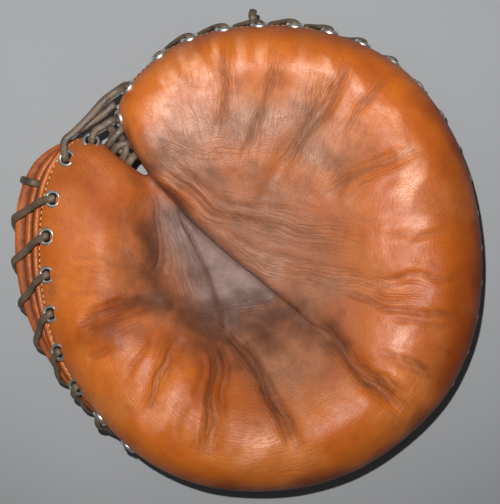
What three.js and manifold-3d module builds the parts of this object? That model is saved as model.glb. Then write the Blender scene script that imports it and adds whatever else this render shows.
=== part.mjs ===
// A padded leather catcher mitt, lying on its back with the palm up, in millimetres.
// +X runs to the little finger side, +Y to the fingertips and +Z out of the palm.
// The padded palm has a deep pocket and a slit between thumb and fingers, which laces bridge as the web.
// Under the palm a thin back cover leaves a hollow for the hand, open at the heel, and a strap closes it.
// A lace whips the palm, a rolled welt and the back cover together around the edge.
import * as THREE from "three";
import { mergeVertices } from "three/addons/utils/BufferGeometryUtils.js";
import Module from "manifold-3d";

const wasm = await Module();
wasm.setup();

// Sizes that drive the form.
const LEATHER = 3; // wall of the back cover
const POCKET = new THREE.Vector2(2, -38); // lowest point of the palm, in plan
const POCKET_Z = 43;
const PALM_UNDER_Z = 31; // flat underside of the pad, the roof of the hand hollow
const GUSSET_Z = 44; // floor of the fold between thumb and fingers
const GUSSET_MIDDLE = new THREE.Vector2(-6, -24);
const GUSSET_ROLL = 9; // how far the lobes round off beside that fold
const BOWL_POWER = 0.85; // below 1 the slopes steepen towards the pocket
const WELT_R = 2.4;
const WELT_DROP = 2.9; // from the seam down to the middle of the welt
const BEAD_DROP = 6.4; // from the seam down to the top edge of the back cover
const WAIST_DROP = 12; // from the seam down to the widest part of the back cover
const COVER_MIDDLE = new THREE.Vector2(2, 10);
const STRAP_RISE = 4.5; // the back cover clears the strap and stud by this much at the heel
const LACE = { width: 4.6, thick: 2, hole: 3.7, clear: 1.9, head: 3.6 };
const EYELET = { inner: 3.7, outer: 5.6, crest: 4.7, high: 1, lift: 0.35, sides: 9 };
const EYELET_FROM_SEAM = 9; // along the leather
const LACE_HOLE_TURN = THREE.MathUtils.degToRad(30); // how far round the back cover's roll the lace goes in
const MOUTH = { half: 38, top: -24, round: 26 }; // opening in the back cover for the hand
const STRAP = { y: -88, wide: 26, thick: 2.4, bottom: 1.8, from: -58, to: 62 };
const TO_FRAME = new THREE.Vector3(0.4, -0.3, 0); // centres the part over the frame's origin
const STUD = { x: 50, headR: 7, headH: 1.5, shankR: 2.6, top: 10.4, gap: 0.3 };

// Fineness of the faceted solids.
const COLUMNS_PER_STATION = 2;
const WELT_PER_STATION = 1.5;
const ROLL_STEPS = 5;
const BOWL_STEPS = 6;
const GUSSET_STEPS = 3;

// Turns a table with named columns into a list of objects.
function table(columns, rows) {
  const names = columns.split(" ");
  return rows.map((row) => Object.fromEntries(names.map((name, i) => [name, row[i]])));
}

// Stations around the edge of the palm leather, from the heel towards the little finger.
// inset: from the edge in to the crown of the padded rim. edge: height of the edge.
// tuck, drop: how far the seam lies in under the edge, and below it.
// flare: how far the back cover stands out past the seam. full: 2 for a round rim, 1 for a sloping one.
const RIM = table("x y inset edge tuck drop flare full", [
  [-2, -146.5, 38, 50, 7, 12, 0, 2],
  [32, -144.5, 38, 50, 7, 12, 0, 2],
  [66, -134, 38, 49, 8, 12, 0, 2],
  [97, -114, 38, 48, 8, 12, 0, 2],
  [122, -88, 38, 47, 8, 12, 0, 2],
  [138, -56, 38, 46, 8, 12, 0, 2],
  [144.5, -22, 38, 45, 8, 12, 0, 2],
  [144, 14, 38, 45, 8, 12, 0, 2],
  [136.5, 51, 38, 45, 8, 12, 0, 2],
  [121, 85, 36, 45, 7, 11, 0, 2],
  [99, 112, 34, 44, 5, 9, 0, 2],
  [71, 130, 32, 44, 3, 7, 0, 1.9],
  [38, 140, 30, 44, 1, 5, 2, 1.8],
  [6, 141.5, 30, 44, 1, 5, 2, 1.8],
  [-25, 137, 30, 44, 1, 5, 2, 1.8],
  [-49, 127, 28, 45, 1, 5, 2, 1.8],
  [-65, 113.5, 24, 47, 1, 5, 2, 1.8],
  [-75.5, 101, 18, 49, 1, 5, 1, 1.8],
  [-80, 89.5, 14, 50, 2, 6, 0, 1.9],
  [-77, 77, 12, 50, 2, 6, 0, 2],
  [-69.5, 63, 12, 50, 3, 8, 0, 2],
  [-61.5, 51, 12, 50, 3, 8, 0, 2],
  [-58.5, 44, 12, 50, 3, 8, 0, 2],
  [-63.5, 43, 12, 50, 3, 8, 0, 2],
  [-73, 51.5, 13, 50, 3, 8, 0, 2],
  [-82, 60, 14, 50, 3, 8, 0, 1.9],
  [-91, 68.5, 17, 50, 2, 6, 0, 1.7],
  [-101, 71.5, 22, 50, 1, 5, 1, 1.4],
  [-112, 65.5, 30, 50, 0, 4, 6, 1.2],
  [-121, 51, 40, 50, 0, 3, 14, 1.1],
  [-126.5, 31.5, 46, 50, 0, 3, 17, 1.1],
  [-128.5, 9, 48, 50, 0, 3, 17, 1.1],
  [-128, -13, 48, 50, 0, 3, 16, 1.1],
  [-125, -34, 46, 50, 0, 3, 14, 1.1],
  [-120, -54.5, 44, 50, 0, 4, 10, 1.2],
  [-111, -73, 42, 50, 0, 5, 7, 1.4],
  [-99, -91, 40, 50, 1, 6, 5, 1.6],
  [-84, -109.5, 38, 50, 3, 8, 3, 1.8],
  [-61, -129, 38, 50, 5, 10, 1, 2],
  [-32, -142, 38, 50, 7, 12, 0, 2],
]);

// The crown of the rim as seen from the pocket, every 30 degrees from +X towards +Y.
const CROWN = table("reach height", [
  [97, 85],
  [112, 82],
  [142, 76],
  [141, 72],
  [134, 70],
  [112, 72],
  [86, 76],
  [72, 81],
  [74, 86],
  [79, 89],
  [88, 91],
  [95, 89],
]);

// Outline of the fold between the lobes: up its finger side from the pocket and back down its thumb side.
// station: where on the edge of the palm the leather that meets the fold here comes from.
const GUSSET = table("station x y", [
  [0, 10, -49],
  [3.4, 38, -41],
  [6, 31, -33],
  [9, 14, -17],
  [12, -6, 1],
  [15, -22, 16],
  [18, -35, 26],
  [21, -44, 32],
  [22.5, -46, 30],
  [24, -45, 25],
  [27, -42, 17],
  [30, -37, 7],
  [33, -27, -13],
  [35, -20, -28],
  [37, -12, -44],
]);

// Main creases of the palm. depth: how deep. half: half its width.
const CREASES = table("depth half path", [
  [9, 7, [[32, -36], [56, -56], [73, -76], [100, -101]]],
  [8, 7, [[-10, -42], [-2, -63], [18, -90], [34, -124]]],
  [8, 7, [[-108, -50], [-90, -41], [-72, -33], [-48, -27]]],
  [6, 8, [[-64, 44], [-58, 21], [-54, -1], [-61, -26]]],
  [6, 7, [[-12, -50], [-14, -75], [-20, -101], [-24, -128]]],
  [5, 7, [[-34, -44], [-48, -74], [-66, -108]]],
  [5, 7, [[0, 20], [25, 61], [40, 83], [60, 118]]],
  [4, 7, [[44, 34], [73, 50], [106, 65]]],
  [3, 7, [[44, -12], [79, -20], [114, -20]]],
  [8, 6, [[-74, 54], [-60, 43], [-46, 30], [-34, 20]]],
]);

function catmullRom(a, b, c, d, t) {
  const slope = (c - a) * t;
  const square = (2 * a - 5 * b + 4 * c - d) * t * t;
  const cube = (3 * b - a - 3 * c + d) * t * t * t;
  return (2 * b + slope + square + cube) / 2;
}

// A closed table read at a fractional row, one smooth curve through each column.
function readAround(rows, at) {
  const count = rows.length;
  const row = Math.floor(at);
  const t = at - row;
  const near = [-1, 0, 1, 2].map((k) => rows[(((row + k) % count) + count) % count]);
  return Object.fromEntries(
    Object.keys(rows[0]).map((key) => [key, catmullRom(...near.map((r) => r[key]), t)]),
  );
}

// The edge at a fractional station, with the outward direction in plan.
function rimAt(at) {
  const STEP = 0.02;
  const here = readAround(RIM, at);
  const before = readAround(RIM, at - STEP);
  const after = readAround(RIM, at + STEP);
  const out = new THREE.Vector2(after.y - before.y, before.x - after.x).normalize();
  return { ...here, at, out };
}

const RIM_SAMPLES_PER_STATION = 6;
const rimSamples = Array.from({ length: RIM.length * RIM_SAMPLES_PER_STATION }, (_, i) =>
  rimAt(i / RIM_SAMPLES_PER_STATION),
);

// Mixes the samples' named value at a point, the nearest ones counting most.
function blendRim(x, y, key) {
  let sum = 0;
  let weights = 0;
  for (const s of rimSamples) {
    const weight = 1 / (((s.x - x) ** 2 + (s.y - y) ** 2) ** 2 + 1);
    sum += weight * s[key];
    weights += weight;
  }
  return sum / weights;
}

// 0 at the edge of the palm, 1 from the crown inwards.
function insetShare(x, y) {
  return Math.min(1, ...rimSamples.map((s) => Math.hypot(s.x - x, s.y - y) / s.inset));
}

function distanceToPath(x, y, path) {
  const point = new THREE.Vector3(x, y, 0);
  const nearest = new THREE.Vector3();
  const piece = new THREE.Line3();
  let best = { distance: Infinity, along: 0 };
  for (let i = 0; i + 1 < path.length; i++) {
    piece.start.set(...path[i], 0);
    piece.end.set(...path[i + 1], 0);
    const t = piece.closestPointToPointParameter(point, true);
    const distance = piece.at(t, nearest).distanceTo(point);
    if (distance < best.distance) best = { distance, along: (i + t) / (path.length - 1) };
  }
  return best;
}

const gussetOutline = [...GUSSET, GUSSET[0]].map(({ x, y }) => [x, y]);

function isInside(x, y, outline) {
  return outline.reduce((inside, [x2, y2], i) => {
    const [x1, y1] = outline.at(i - 1);
    const crosses = y1 > y !== y2 > y && x < x1 + ((y - y1) * (x2 - x1)) / (y2 - y1);
    return crosses ? !inside : inside;
  }, false);
}

// The bowl of the palm before the rim rolls off, from the pocket up to the crown.
function bowlHeight(x, y) {
  const dx = x - POCKET.x;
  const dy = y - POCKET.y;
  const turn = (Math.atan2(dy, dx) / (2 * Math.PI)) * CROWN.length;
  const { reach, height } = readAround(CROWN, turn);
  const share = Math.min(1, Math.hypot(dx, dy) / reach);
  return POCKET_Z + (height - POCKET_Z) * (0.5 - 0.5 * Math.cos(Math.PI * share ** BOWL_POWER));
}

// Height of the palm leather over a point in plan.
function palmHeight(x, y) {
  const edge = blendRim(x, y, "edge");
  const full = blendRim(x, y, "full");
  const roll = (1 - (1 - insetShare(x, y)) ** 2) ** (1 / full);
  let z = edge + (bowlHeight(x, y) - edge) * roll;
  const beside = isInside(x, y, gussetOutline)
    ? 0
    : Math.min(1, distanceToPath(x, y, gussetOutline).distance / GUSSET_ROLL);
  const lobe = Math.sqrt(1 - (1 - beside) ** 2);
  if (z > GUSSET_Z) z = GUSSET_Z + (z - GUSSET_Z) * lobe;
  for (const { depth, half, path } of CREASES) {
    const { distance, along } = distanceToPath(x, y, path);
    const fade = THREE.MathUtils.smoothstep(Math.min(along, 1 - along), 0, 0.25);
    z -= depth * fade * lobe * Math.exp(-((distance / half) ** 2));
  }
  return z;
}

// Joins rings of equal length into one closed surface, with a point closing each end.
function loft(rings, first, last) {
  const columns = rings[0].length;
  const points = [first, ...rings.flat(), last];
  const faces = [];
  const id = (ring, column) => 1 + ring * columns + (column % columns);
  for (let c = 0; c < columns; c++) {
    faces.push(0, id(0, c), id(0, c + 1));
    for (let r = 0; r + 1 < rings.length; r++) {
      faces.push(id(r, c), id(r + 1, c), id(r + 1, c + 1));
      faces.push(id(r, c), id(r + 1, c + 1), id(r, c + 1));
    }
    faces.push(id(rings.length - 1, c), points.length - 1, id(rings.length - 1, c + 1));
  }
  return new THREE.BufferGeometry().setFromPoints(points).setIndex(faces);
}

// Moves each point of a ring in plan by its own amount, inwards, then evens the ring out.
function shrink(ring, amounts, passes) {
  const count = ring.length;
  let next = ring.map((p, i) => {
    const a = ring[(i + count - 1) % count];
    const b = ring[(i + 1) % count];
    const inwards = new THREE.Vector2(a.y - b.y, b.x - a.x).normalize();
    return p.clone().addScaledVector(inwards, amounts[i]);
  });
  for (let pass = 0; pass < passes; pass++) {
    next = next.map((p, i) => {
      const middle = next[(i + count - 1) % count].clone().add(next[(i + 1) % count]);
      return p.clone().lerp(middle.multiplyScalar(0.5), 0.5);
    });
  }
  return next;
}

// The same in several steps, which keeps tight corners from crossing themselves.
function march(ring, amounts, steps) {
  const each = amounts.map((amount) => amount / steps);
  return Array.from({ length: steps }).reduce((inner) => shrink(inner, each, 1), ring);
}

const gather = (ring, centre, share) => ring.map((p) => p.clone().lerp(centre, share));
const raise = (ring, height) => ring.map((p, i) => new THREE.Vector3(p.x, p.y, height(p, i)));
const quarter = (share) => (share * Math.PI) / 2;

// Columns of the lofted leather, evenly spread over the stations.
function rimColumns(perStation) {
  return Array.from({ length: RIM.length * perStation }, (_, i) => rimAt(i / perStation));
}

const offsetRing = (columns, out) =>
  columns.map((c) => new THREE.Vector2(c.x, c.y).addScaledVector(c.out, out(c)));

// The place on the gusset's outline that belongs to a fractional station.
function gussetPoint(at) {
  const ends = [...GUSSET, { ...GUSSET[0], station: RIM.length }];
  const i = ends.findIndex(({ station }) => station > at) - 1;
  const [a, b] = [ends[i], ends[i + 1]];
  const share = (at - a.station) / (b.station - a.station);
  return new THREE.Vector2(a.x, a.y).lerp(new THREE.Vector2(b.x, b.y), share);
}

// Rings in plan from the gusset's outline out over the lobes and the crown to the edge.
function palmPlan(columns) {
  const rings = [offsetRing(columns, () => 0)];
  for (let k = 1; k <= ROLL_STEPS; k++) {
    const step = Math.cos(quarter((k - 1) / ROLL_STEPS)) - Math.cos(quarter(k / ROLL_STEPS));
    rings.unshift(shrink(rings[0], columns.map((c) => c.inset * step), k > 2 ? 1 : 0));
  }
  const crown = rings[0];
  const start = columns.map((c) => gussetPoint(c.at));
  const shoulder = start.map((p, i) => {
    const length = p.distanceTo(crown[i]);
    return p.clone().lerp(crown[i], Math.min(GUSSET_ROLL * 1.15 / length, 0.6));
  });
  for (let k = BOWL_STEPS - 1; k >= 0; k--) {
    rings.unshift(shoulder.map((p, i) => p.clone().lerp(crown[i], k / BOWL_STEPS)));
  }
  for (let k = GUSSET_STEPS - 1; k >= 0; k--) {
    const share = 1 - Math.cos(quarter(k / GUSSET_STEPS));
    rings.unshift(start.map((p, i) => p.clone().lerp(shoulder[i], share)));
  }
  return rings;
}

// The padded palm: gusset, pocket, rim and roll, then the underside.
function palmGeometry() {
  const columns = rimColumns(COLUMNS_PER_STATION);
  const top = palmPlan(columns).map((ring, k, all) =>
    raise(ring, (p, i) => {
      if (k === 0) return GUSSET_Z;
      return k === all.length - 1 ? columns[i].edge : palmHeight(p.x, p.y);
    }),
  );
  const under = [0.5, 1].map((share) => {
    const ring = offsetRing(columns, (c) => -c.tuck * (1 - Math.cos(quarter(share))));
    return raise(ring, (p, i) => columns[i].edge - columns[i].drop * Math.sin(quarter(share)));
  });
  const seam = offsetRing(columns, (c) => -c.tuck);
  const shelf = shrink(seam, columns.map(() => WELT_R * 2), 0);
  const roof = shrink(shelf, columns.map((c) => Math.max(8, c.inset * 0.35)), 2);
  const underside = [
    raise(shelf, (p, i) => seamHeight(columns[i])),
    raise(roof, () => PALM_UNDER_Z),
    raise(gather(roof, POCKET, 0.5), () => PALM_UNDER_Z),
  ];
  const floor = new THREE.Vector3(GUSSET_MIDDLE.x, GUSSET_MIDDLE.y, GUSSET_Z);
  return loft([...top, ...under, ...underside], floor, new THREE.Vector3(POCKET.x, POCKET.y, PALM_UNDER_Z));
}

// Levels of the back cover, from its top edge down: out past the seam, and height.
const seamHeight = (c) => c.edge - c.drop;
const weltOut = (c) => c.flare * 0.22 - c.tuck - 0.6;
const coverInset = (c) => c.inset * 0.85;
const beadOut = (c) => c.flare * 0.5 - c.tuck;
const waistOut = (c) => c.flare - c.tuck;
const waistHeight = (c) => seamHeight(c) - WAIST_DROP;

// The heel end of the back cover stands clear of the strap.
const coverFloor = (y) => STRAP_RISE * THREE.MathUtils.smoothstep(-y, 24, 62);

// The roll of the back cover from its waist to the floor, turned by angle.
function coverRoll(c, angle) {
  const out = waistOut(c) - coverInset(c) * (1 - Math.cos(angle));
  const low = coverFloor(c.y);
  return { out, height: low + (waistHeight(c) - low) * (1 - Math.sin(angle)) };
}

// The back cover before the mouth and the lace holes are cut.
function coverGeometry() {
  const columns = rimColumns(1);
  const wall = (out, height) => raise(offsetRing(columns, out), (p, i) => height(columns[i]));
  const top = (c) => seamHeight(c) - BEAD_DROP;
  const turned = [0.3, 0.6].map((share) => quarter(share));
  const flatOuter = march(offsetRing(columns, waistOut), columns.map(coverInset), 4);
  const flatInner = shrink(flatOuter, columns.map(() => 1), 1);
  const inside = [
    raise(flatInner, (p) => coverFloor(p.y) + LEATHER),
    wall(
      (c) => coverRoll(c, turned[1]).out - LEATHER,
      (c) => coverRoll(c, turned[1]).height + LEATHER * 0.7,
    ),
    wall((c) => waistOut(c) - LEATHER, waistHeight),
    wall((c) => beadOut(c) - LEATHER, top),
  ];
  const outside = [
    wall(beadOut, top),
    wall((c) => beadOut(c) + (waistOut(c) - beadOut(c)) * 0.6 + 0.6, (c) => top(c) - 2.4),
    wall(waistOut, waistHeight),
    ...turned.map((a) => wall((c) => coverRoll(c, a).out, (c) => coverRoll(c, a).height)),
    raise(flatOuter, (p) => coverFloor(p.y)),
    raise(gather(flatOuter, COVER_MIDDLE, 0.28), (p) => coverFloor(p.y)),
  ];
  const centre = new THREE.Vector3(COVER_MIDDLE.x, COVER_MIDDLE.y, 0);
  return loft([...inside, ...outside], centre.clone().setZ(LEATHER), centre);
}

// Outline of the mouth for the hand, rounded at its upper end.
function mouthShape() {
  const shape = new THREE.Shape();
  shape.moveTo(-MOUTH.half, -170);
  shape.lineTo(MOUTH.half, -170);
  shape.lineTo(MOUTH.half, MOUTH.top - MOUTH.round);
  shape.absarc(MOUTH.half - MOUTH.round, MOUTH.top - MOUTH.round, MOUTH.round, 0, Math.PI / 2);
  shape.absarc(MOUTH.round - MOUTH.half, MOUTH.top - MOUTH.round, MOUTH.round, Math.PI / 2, Math.PI);
  return shape;
}

// A closed ring or an open length with its own section at each point.
// frames: list of { at, side, up }, the section spanned by side and up.
function sweep(frames, section, closed = false) {
  const rings = frames.map(({ at, side, up }) =>
    section.map(([a, b]) => at.clone().addScaledVector(side, a).addScaledVector(up, b)),
  );
  if (!closed) {
    return loft(rings, frames[0].at.clone(), frames.at(-1).at.clone());
  }
  const sides = section.length;
  const faces = [];
  for (let r = 0; r < rings.length; r++) {
    const next = (r + 1) % rings.length;
    for (let s = 0; s < sides; s++) {
      const [a, b] = [r * sides + s, next * sides + s];
      const [c, d] = [next * sides + ((s + 1) % sides), r * sides + ((s + 1) % sides)];
      faces.push(a, b, c, a, c, d);
    }
  }
  return new THREE.BufferGeometry().setFromPoints(rings.flat()).setIndex(faces);
}

const vertical = new THREE.Vector3(0, 0, 1);
const flat = (v) => new THREE.Vector3(v.x, v.y, 0);

function weltGeometry() {
  const frames = rimColumns(WELT_PER_STATION).map((c) => {
    const at = placed(c, weltOut(c), seamHeight(c) - WELT_DROP);
    return { at, side: flat(c.out), up: vertical };
  });
  const SIDES = 5;
  const section = Array.from({ length: SIDES }, (_, i) => {
    const angle = (2 * Math.PI * (i + 0.25)) / SIDES;
    return [WELT_R * Math.cos(angle), WELT_R * Math.sin(angle)];
  });
  return sweep(frames, section, true);
}

// Where the lace comes through the palm leather, and the leather's outward direction there.
function eyeletSeat(at) {
  const c = rimAt(at);
  const line = [];
  for (let k = 8; k > 0; k--) {
    const turn = quarter(k / 8);
    line.push([-c.tuck * (1 - Math.cos(turn)), c.edge - c.drop * Math.sin(turn)]);
  }
  for (let out = 0; out > -16; out -= 0.5) {
    line.push([out, palmHeight(c.x + c.out.x * out, c.y + c.out.y * out)]);
  }
  let left = EYELET_FROM_SEAM;
  let i = 1;
  const length = (k) => Math.hypot(line[k][0] - line[k - 1][0], line[k][1] - line[k - 1][1]);
  while (left > length(i)) left -= length(i++);
  const share = left / length(i);
  const out = line[i - 1][0] + (line[i][0] - line[i - 1][0]) * share;
  const height = line[i - 1][1] + (line[i][1] - line[i - 1][1]) * share;
  const [low, high] = [line[Math.max(0, i - 4)], line[Math.min(line.length - 1, i + 3)]];
  const normal = flat(c.out)
    .multiplyScalar(high[1] - low[1])
    .addScaledVector(vertical, low[0] - high[0])
    .normalize();
  return { c, out, height, normal, at: placed(c, out, height) };
}

const placed = (c, out, height) =>
  new THREE.Vector3(c.x, c.y, height).addScaledVector(flat(c.out), out);

// Where the same lace goes back in through the cover.
function coverSeat(at) {
  const c = rimAt(at);
  const { out, height } = coverRoll(c, LACE_HOLE_TURN);
  return { c, out, height, at: placed(c, out, height) };
}

// The tight path of the lace over the edge at one station: the outer hull of the leather there.
function edgeHull(at) {
  const face = eyeletSeat(at);
  const c = face.c;
  const turn = (share) => quarter(share);
  const line = [[face.out, face.height]];
  for (let out = face.out + 2; out < 0; out += 2) {
    line.push([out, palmHeight(c.x + c.out.x * out, c.y + c.out.y * out)]);
  }
  if (face.height > c.edge) line.push([0, c.edge]);
  for (const share of [0.3, 0.6]) {
    const height = c.edge - c.drop * Math.sin(turn(share));
    if (height < face.height) line.push([-c.tuck * (1 - Math.cos(turn(share))), height]);
  }
  line.push([weltOut(c) + WELT_R, seamHeight(c) - WELT_DROP]);
  line.push([beadOut(c), seamHeight(c) - BEAD_DROP]);
  line.push([beadOut(c) + (waistOut(c) - beadOut(c)) * 0.6 + 0.6, seamHeight(c) - BEAD_DROP - 2.4]);
  line.push([waistOut(c), waistHeight(c)]);
  const low = coverRoll(c, LACE_HOLE_TURN / 2);
  line.push([low.out, low.height]);
  const { out, height } = coverSeat(at);
  line.push([out, height]);
  const hull = [];
  for (const p of line) {
    while (hull.length > 1) {
      const [a, b] = hull.slice(-2);
      const bulges = (b[0] - a[0]) * (p[1] - a[1]) - (b[1] - a[1]) * (p[0] - a[0]) < 0;
      if (bulges) break;
      hull.pop();
    }
    hull.push(p);
  }
  return { c, hull };
}

// A point on that path at a share of its length, lifted clear of the leather.
function overEdge(at, share) {
  const { c, hull } = edgeHull(at);
  const lengths = hull.slice(1).map((p, i) => Math.hypot(p[0] - hull[i][0], p[1] - hull[i][1]));
  let left = share * lengths.reduce((a, b) => a + b, 0);
  let i = 0;
  while (i + 1 < lengths.length && left > lengths[i]) left -= lengths[i++];
  const [a, b] = [hull[i], hull[i + 1]];
  const t = left / lengths[i];
  const normal = flat(c.out)
    .multiplyScalar(a[1] - b[1])
    .addScaledVector(vertical, b[0] - a[0])
    .normalize();
  const point = placed(c, a[0] + (b[0] - a[0]) * t, a[1] + (b[1] - a[1]) * t);
  return { point: point.addScaledVector(normal, LACE.thick / 2 + LACE.clear), normal };
}

// Stations of the lacing, stepped along the edge from one station by a spacing.
function spacedStations(from, spacing, count, direction) {
  const STEP = 0.01;
  const found = [from];
  let at = from;
  let run = 0;
  let last = rimAt(at);
  while (found.length < count) {
    at += direction * STEP;
    const next = rimAt(at);
    run += Math.hypot(next.x - last.x, next.y - last.y);
    last = next;
    if (run >= spacing) {
      found.push(at);
      run = 0;
    }
  }
  return found;
}

function nearestStation(x, y) {
  return rimSamples.reduce((best, s) =>
    Math.hypot(s.x - x, s.y - y) < Math.hypot(best.x - x, best.y - y) ? s : best,
  ).at;
}

const FINGER_LACING = { from: nearestStation(-58, 124), spacing: 21.8, count: 18 };
const THUMB_LACING = { from: nearestStation(-125, 36), spacing: 24.2, count: 8 };
const fingerStations = spacedStations(
  FINGER_LACING.from, FINGER_LACING.spacing, FINGER_LACING.count, -1,
).reverse();
const thumbStations = spacedStations(
  THUMB_LACING.from, THUMB_LACING.spacing, THUMB_LACING.count, 1,
);
const webAt = {
  finger_outer: nearestStation(-74, 104),
  finger_inner: nearestStation(-79, 84),
  thumb_inner: nearestStation(-95, 71),
  thumb_outer: nearestStation(-115, 62),
};

// The bent run of a lace inside the mitt, from the back cover round the inside of the welt to the palm.
function innerRun(at) {
  const face = eyeletSeat(at);
  const { c } = face;
  const out = Math.min(weltOut(c) - WELT_R - LACE.thick - 0.6, face.out - 4);
  return [coverSeat(at).at, placed(c, out, seamHeight(c) - WELT_DROP + 1), face.at];
}

// Sets the section's directions along a list of { point, normal }.
function laceFrames(points) {
  return points.map(({ point, normal }, i) => {
    const before = points[Math.max(0, i - 1)].point;
    const after = points[Math.min(points.length - 1, i + 1)].point;
    const along = after.clone().sub(before).normalize();
    const side = new THREE.Vector3().crossVectors(along, normal).normalize();
    return { at: point, side, up: new THREE.Vector3().crossVectors(side, along).normalize() };
  });
}

const HALF = { width: LACE.width / 2, thick: LACE.thick / 2 };
const LACE_SECTION = [
  [-HALF.width, -HALF.thick],
  [HALF.width, -HALF.thick],
  [HALF.width, HALF.thick],
  [-HALF.width, HALF.thick],
];
const OVER = { first: 0.17, last: 0.86 }; // shares of the way over the edge where the lace turns

// The lace where it stands in a hole: low in the back cover, bent by the welt, and out of the eyelet.
// towards: the way that it bends over once it is out; over: the side that faces out as it bends.
function innerPoints(at, towards = flat(rimAt(at).out), over = eyeletSeat(at).normal) {
  const [low, bend, high] = innerRun(at);
  const away = towards.clone().negate();
  const out = low.clone().sub(bend).normalize();
  const head = high.clone().addScaledVector(eyeletSeat(at).normal, LACE.head);
  return [
    { point: low.clone().addScaledVector(out, LACE.head - 0.8), normal: out },
    { point: bend, normal: away },
    { point: high, normal: away },
    { point: head, normal: over },
  ];
}

// One whipped lace through a run of stations, up through each and over the edge to the next.
function whipGeometry(stations, turns) {
  const points = stations.flatMap((at, i) => {
    const inside = innerPoints(at).slice(i ? 0 : 1);
    if (i + 1 === stations.length) return inside;
    const over = Array.from({ length: turns }, (_, k) => {
      const share = OVER.first + ((OVER.last - OVER.first) * k) / (turns - 1);
      return overEdge(at + (stations[i + 1] - at) * share, share);
    });
    return [...inside, ...over];
  });
  return sweep(laceFrames(points), LACE_SECTION);
}

// A prism from one point towards another, a little past both, to cut a hole for the lace.
function holeSolid(from, to) {
  const PAST = 2;
  const SIDES = 4;
  const along = to.clone().sub(from).normalize();
  const length = from.distanceTo(to) + 2 * PAST;
  const geometry = new THREE.CylinderGeometry(LACE.hole, LACE.hole, length, SIDES);
  const turn = new THREE.Quaternion().setFromUnitVectors(new THREE.Vector3(0, 1, 0), along);
  const middle = from.clone().add(to).multiplyScalar(0.5);
  return solid(geometry.applyQuaternion(turn).translate(middle.x, middle.y, middle.z));
}

function solid(geometry) {
  const bare = geometry.clone();
  bare.deleteAttribute("normal");
  bare.deleteAttribute("uv");
  const merged = mergeVertices(bare, 1e-4);
  return new wasm.Manifold(
    new wasm.Mesh({
      numProp: 3,
      vertProperties: new Float32Array(merged.attributes.position.array),
      triVerts: new Uint32Array(merged.index.array),
    }),
  );
}

function geometryOf(manifold) {
  const { vertProperties, triVerts } = manifold.getMesh();
  return new THREE.BufferGeometry()
    .setAttribute("position", new THREE.BufferAttribute(vertProperties, 3))
    .setIndex(new THREE.BufferAttribute(triVerts, 1));
}

const cut = (geometry, cutters) =>
  geometryOf(cutters.reduce((left, cutter) => left.subtract(cutter), solid(geometry)));

function eyeletGeometry() {
  const { inner, outer, crest, high, sides } = EYELET;
  const profile = [[inner, 0], [outer, 0], [crest, high], [inner, 0]];
  const lathe = new THREE.LatheGeometry(profile.map(([r, h]) => new THREE.Vector2(r, h)), sides);
  return lathe;
}

// The web: strands of lace across the slit between thumb and fingers. rise: height of the middle.
const WEB = {
  outer: table("x y rise", [
    [-81, 100, 57],
    [-89, 94, 56],
    [-98, 84, 55],
    [-107, 75, 55.5],
    [-113, 69, 56.5],
  ]),
  back: table("x y rise", [
    [-106, 76, 53],
    [-99, 79.5, 51.5],
    [-90, 86, 50],
    [-82.5, 93, 49],
  ]),
  inner: table("x y rise", [
    [-84, 82, 57],
    [-90, 78, 56.5],
    [-94, 75.5, 57],
  ]),
  ladder: table("x y rise", [
    [-87, 80, 54.4],
    [-83.5, 75, 51.5],
    [-84.5, 69, 48.5],
    [-80, 65, 47],
    [-73, 62, 46],
    [-69.5, 56, 46],
  ]),
};

const strand = (path) =>
  path.map(({ x, y, rise }) => ({ point: new THREE.Vector3(x, y, rise), normal: vertical }));

// A lace across the slit that dives through the palm at both ends.
function webGeometry(startAt, across, endAt) {
  const first = new THREE.Vector3(across[1].x - across[0].x, across[1].y - across[0].y, 0).normalize();
  const last = new THREE.Vector3(across.at(-2).x - across.at(-1).x, across.at(-2).y - across.at(-1).y, 0);
  const start = innerPoints(startAt, first, vertical).slice(1);
  const end = innerPoints(endAt, last.normalize(), vertical).slice(1).toReversed();
  return sweep(laceFrames([...start, ...strand(across), ...end]), LACE_SECTION);
}

function strapGeometry() {
  const { y, wide, thick, from, to } = STRAP;
  const radius = wide / 2;
  const shape = new THREE.Shape();
  shape.moveTo(from, -radius);
  shape.lineTo(to - radius, -radius);
  shape.absarc(to - radius, 0, radius, -Math.PI / 2, Math.PI / 2);
  shape.lineTo(from, radius);
  const geometry = new THREE.ExtrudeGeometry(shape, { depth: thick, bevelEnabled: false, curveSegments: 8 });
  geometry.translate(0, y, STRAP.bottom);
  return geometry;
}

// A head below the strap, a shank through strap and cover, and a cap above.
function studGeometry() {
  const { headR, headH, shankR, top } = STUD;
  const profile = [[0, 0], [headR, 0], [headR, headH], [shankR, headH], [shankR, top], [0, top]];
  return new THREE.LatheGeometry(profile.map(([r, h]) => new THREE.Vector2(r, h)), 16);
}

const paint = (color, roughness, metalness = 0) =>
  new THREE.MeshStandardMaterial({ color, roughness, metalness });
const palmLeather = paint(0xb4622d, 0.5);
const backLeather = paint(0x9c5428, 0.6);
const weltLeather = paint(0xa8572c, 0.55);
const rawhide = paint(0x6f665a, 0.7);
const nickel = paint(0xc9c9c6, 0.25, 1);

const mitt = new THREE.Group();

function add(name, geometry, material, at = new THREE.Vector3()) {
  const mesh = new THREE.Mesh(geometry, material);
  mesh.name = name;
  mesh.position.copy(at).add(TO_FRAME);
  mitt.add(mesh);
  return mesh;
}

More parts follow.
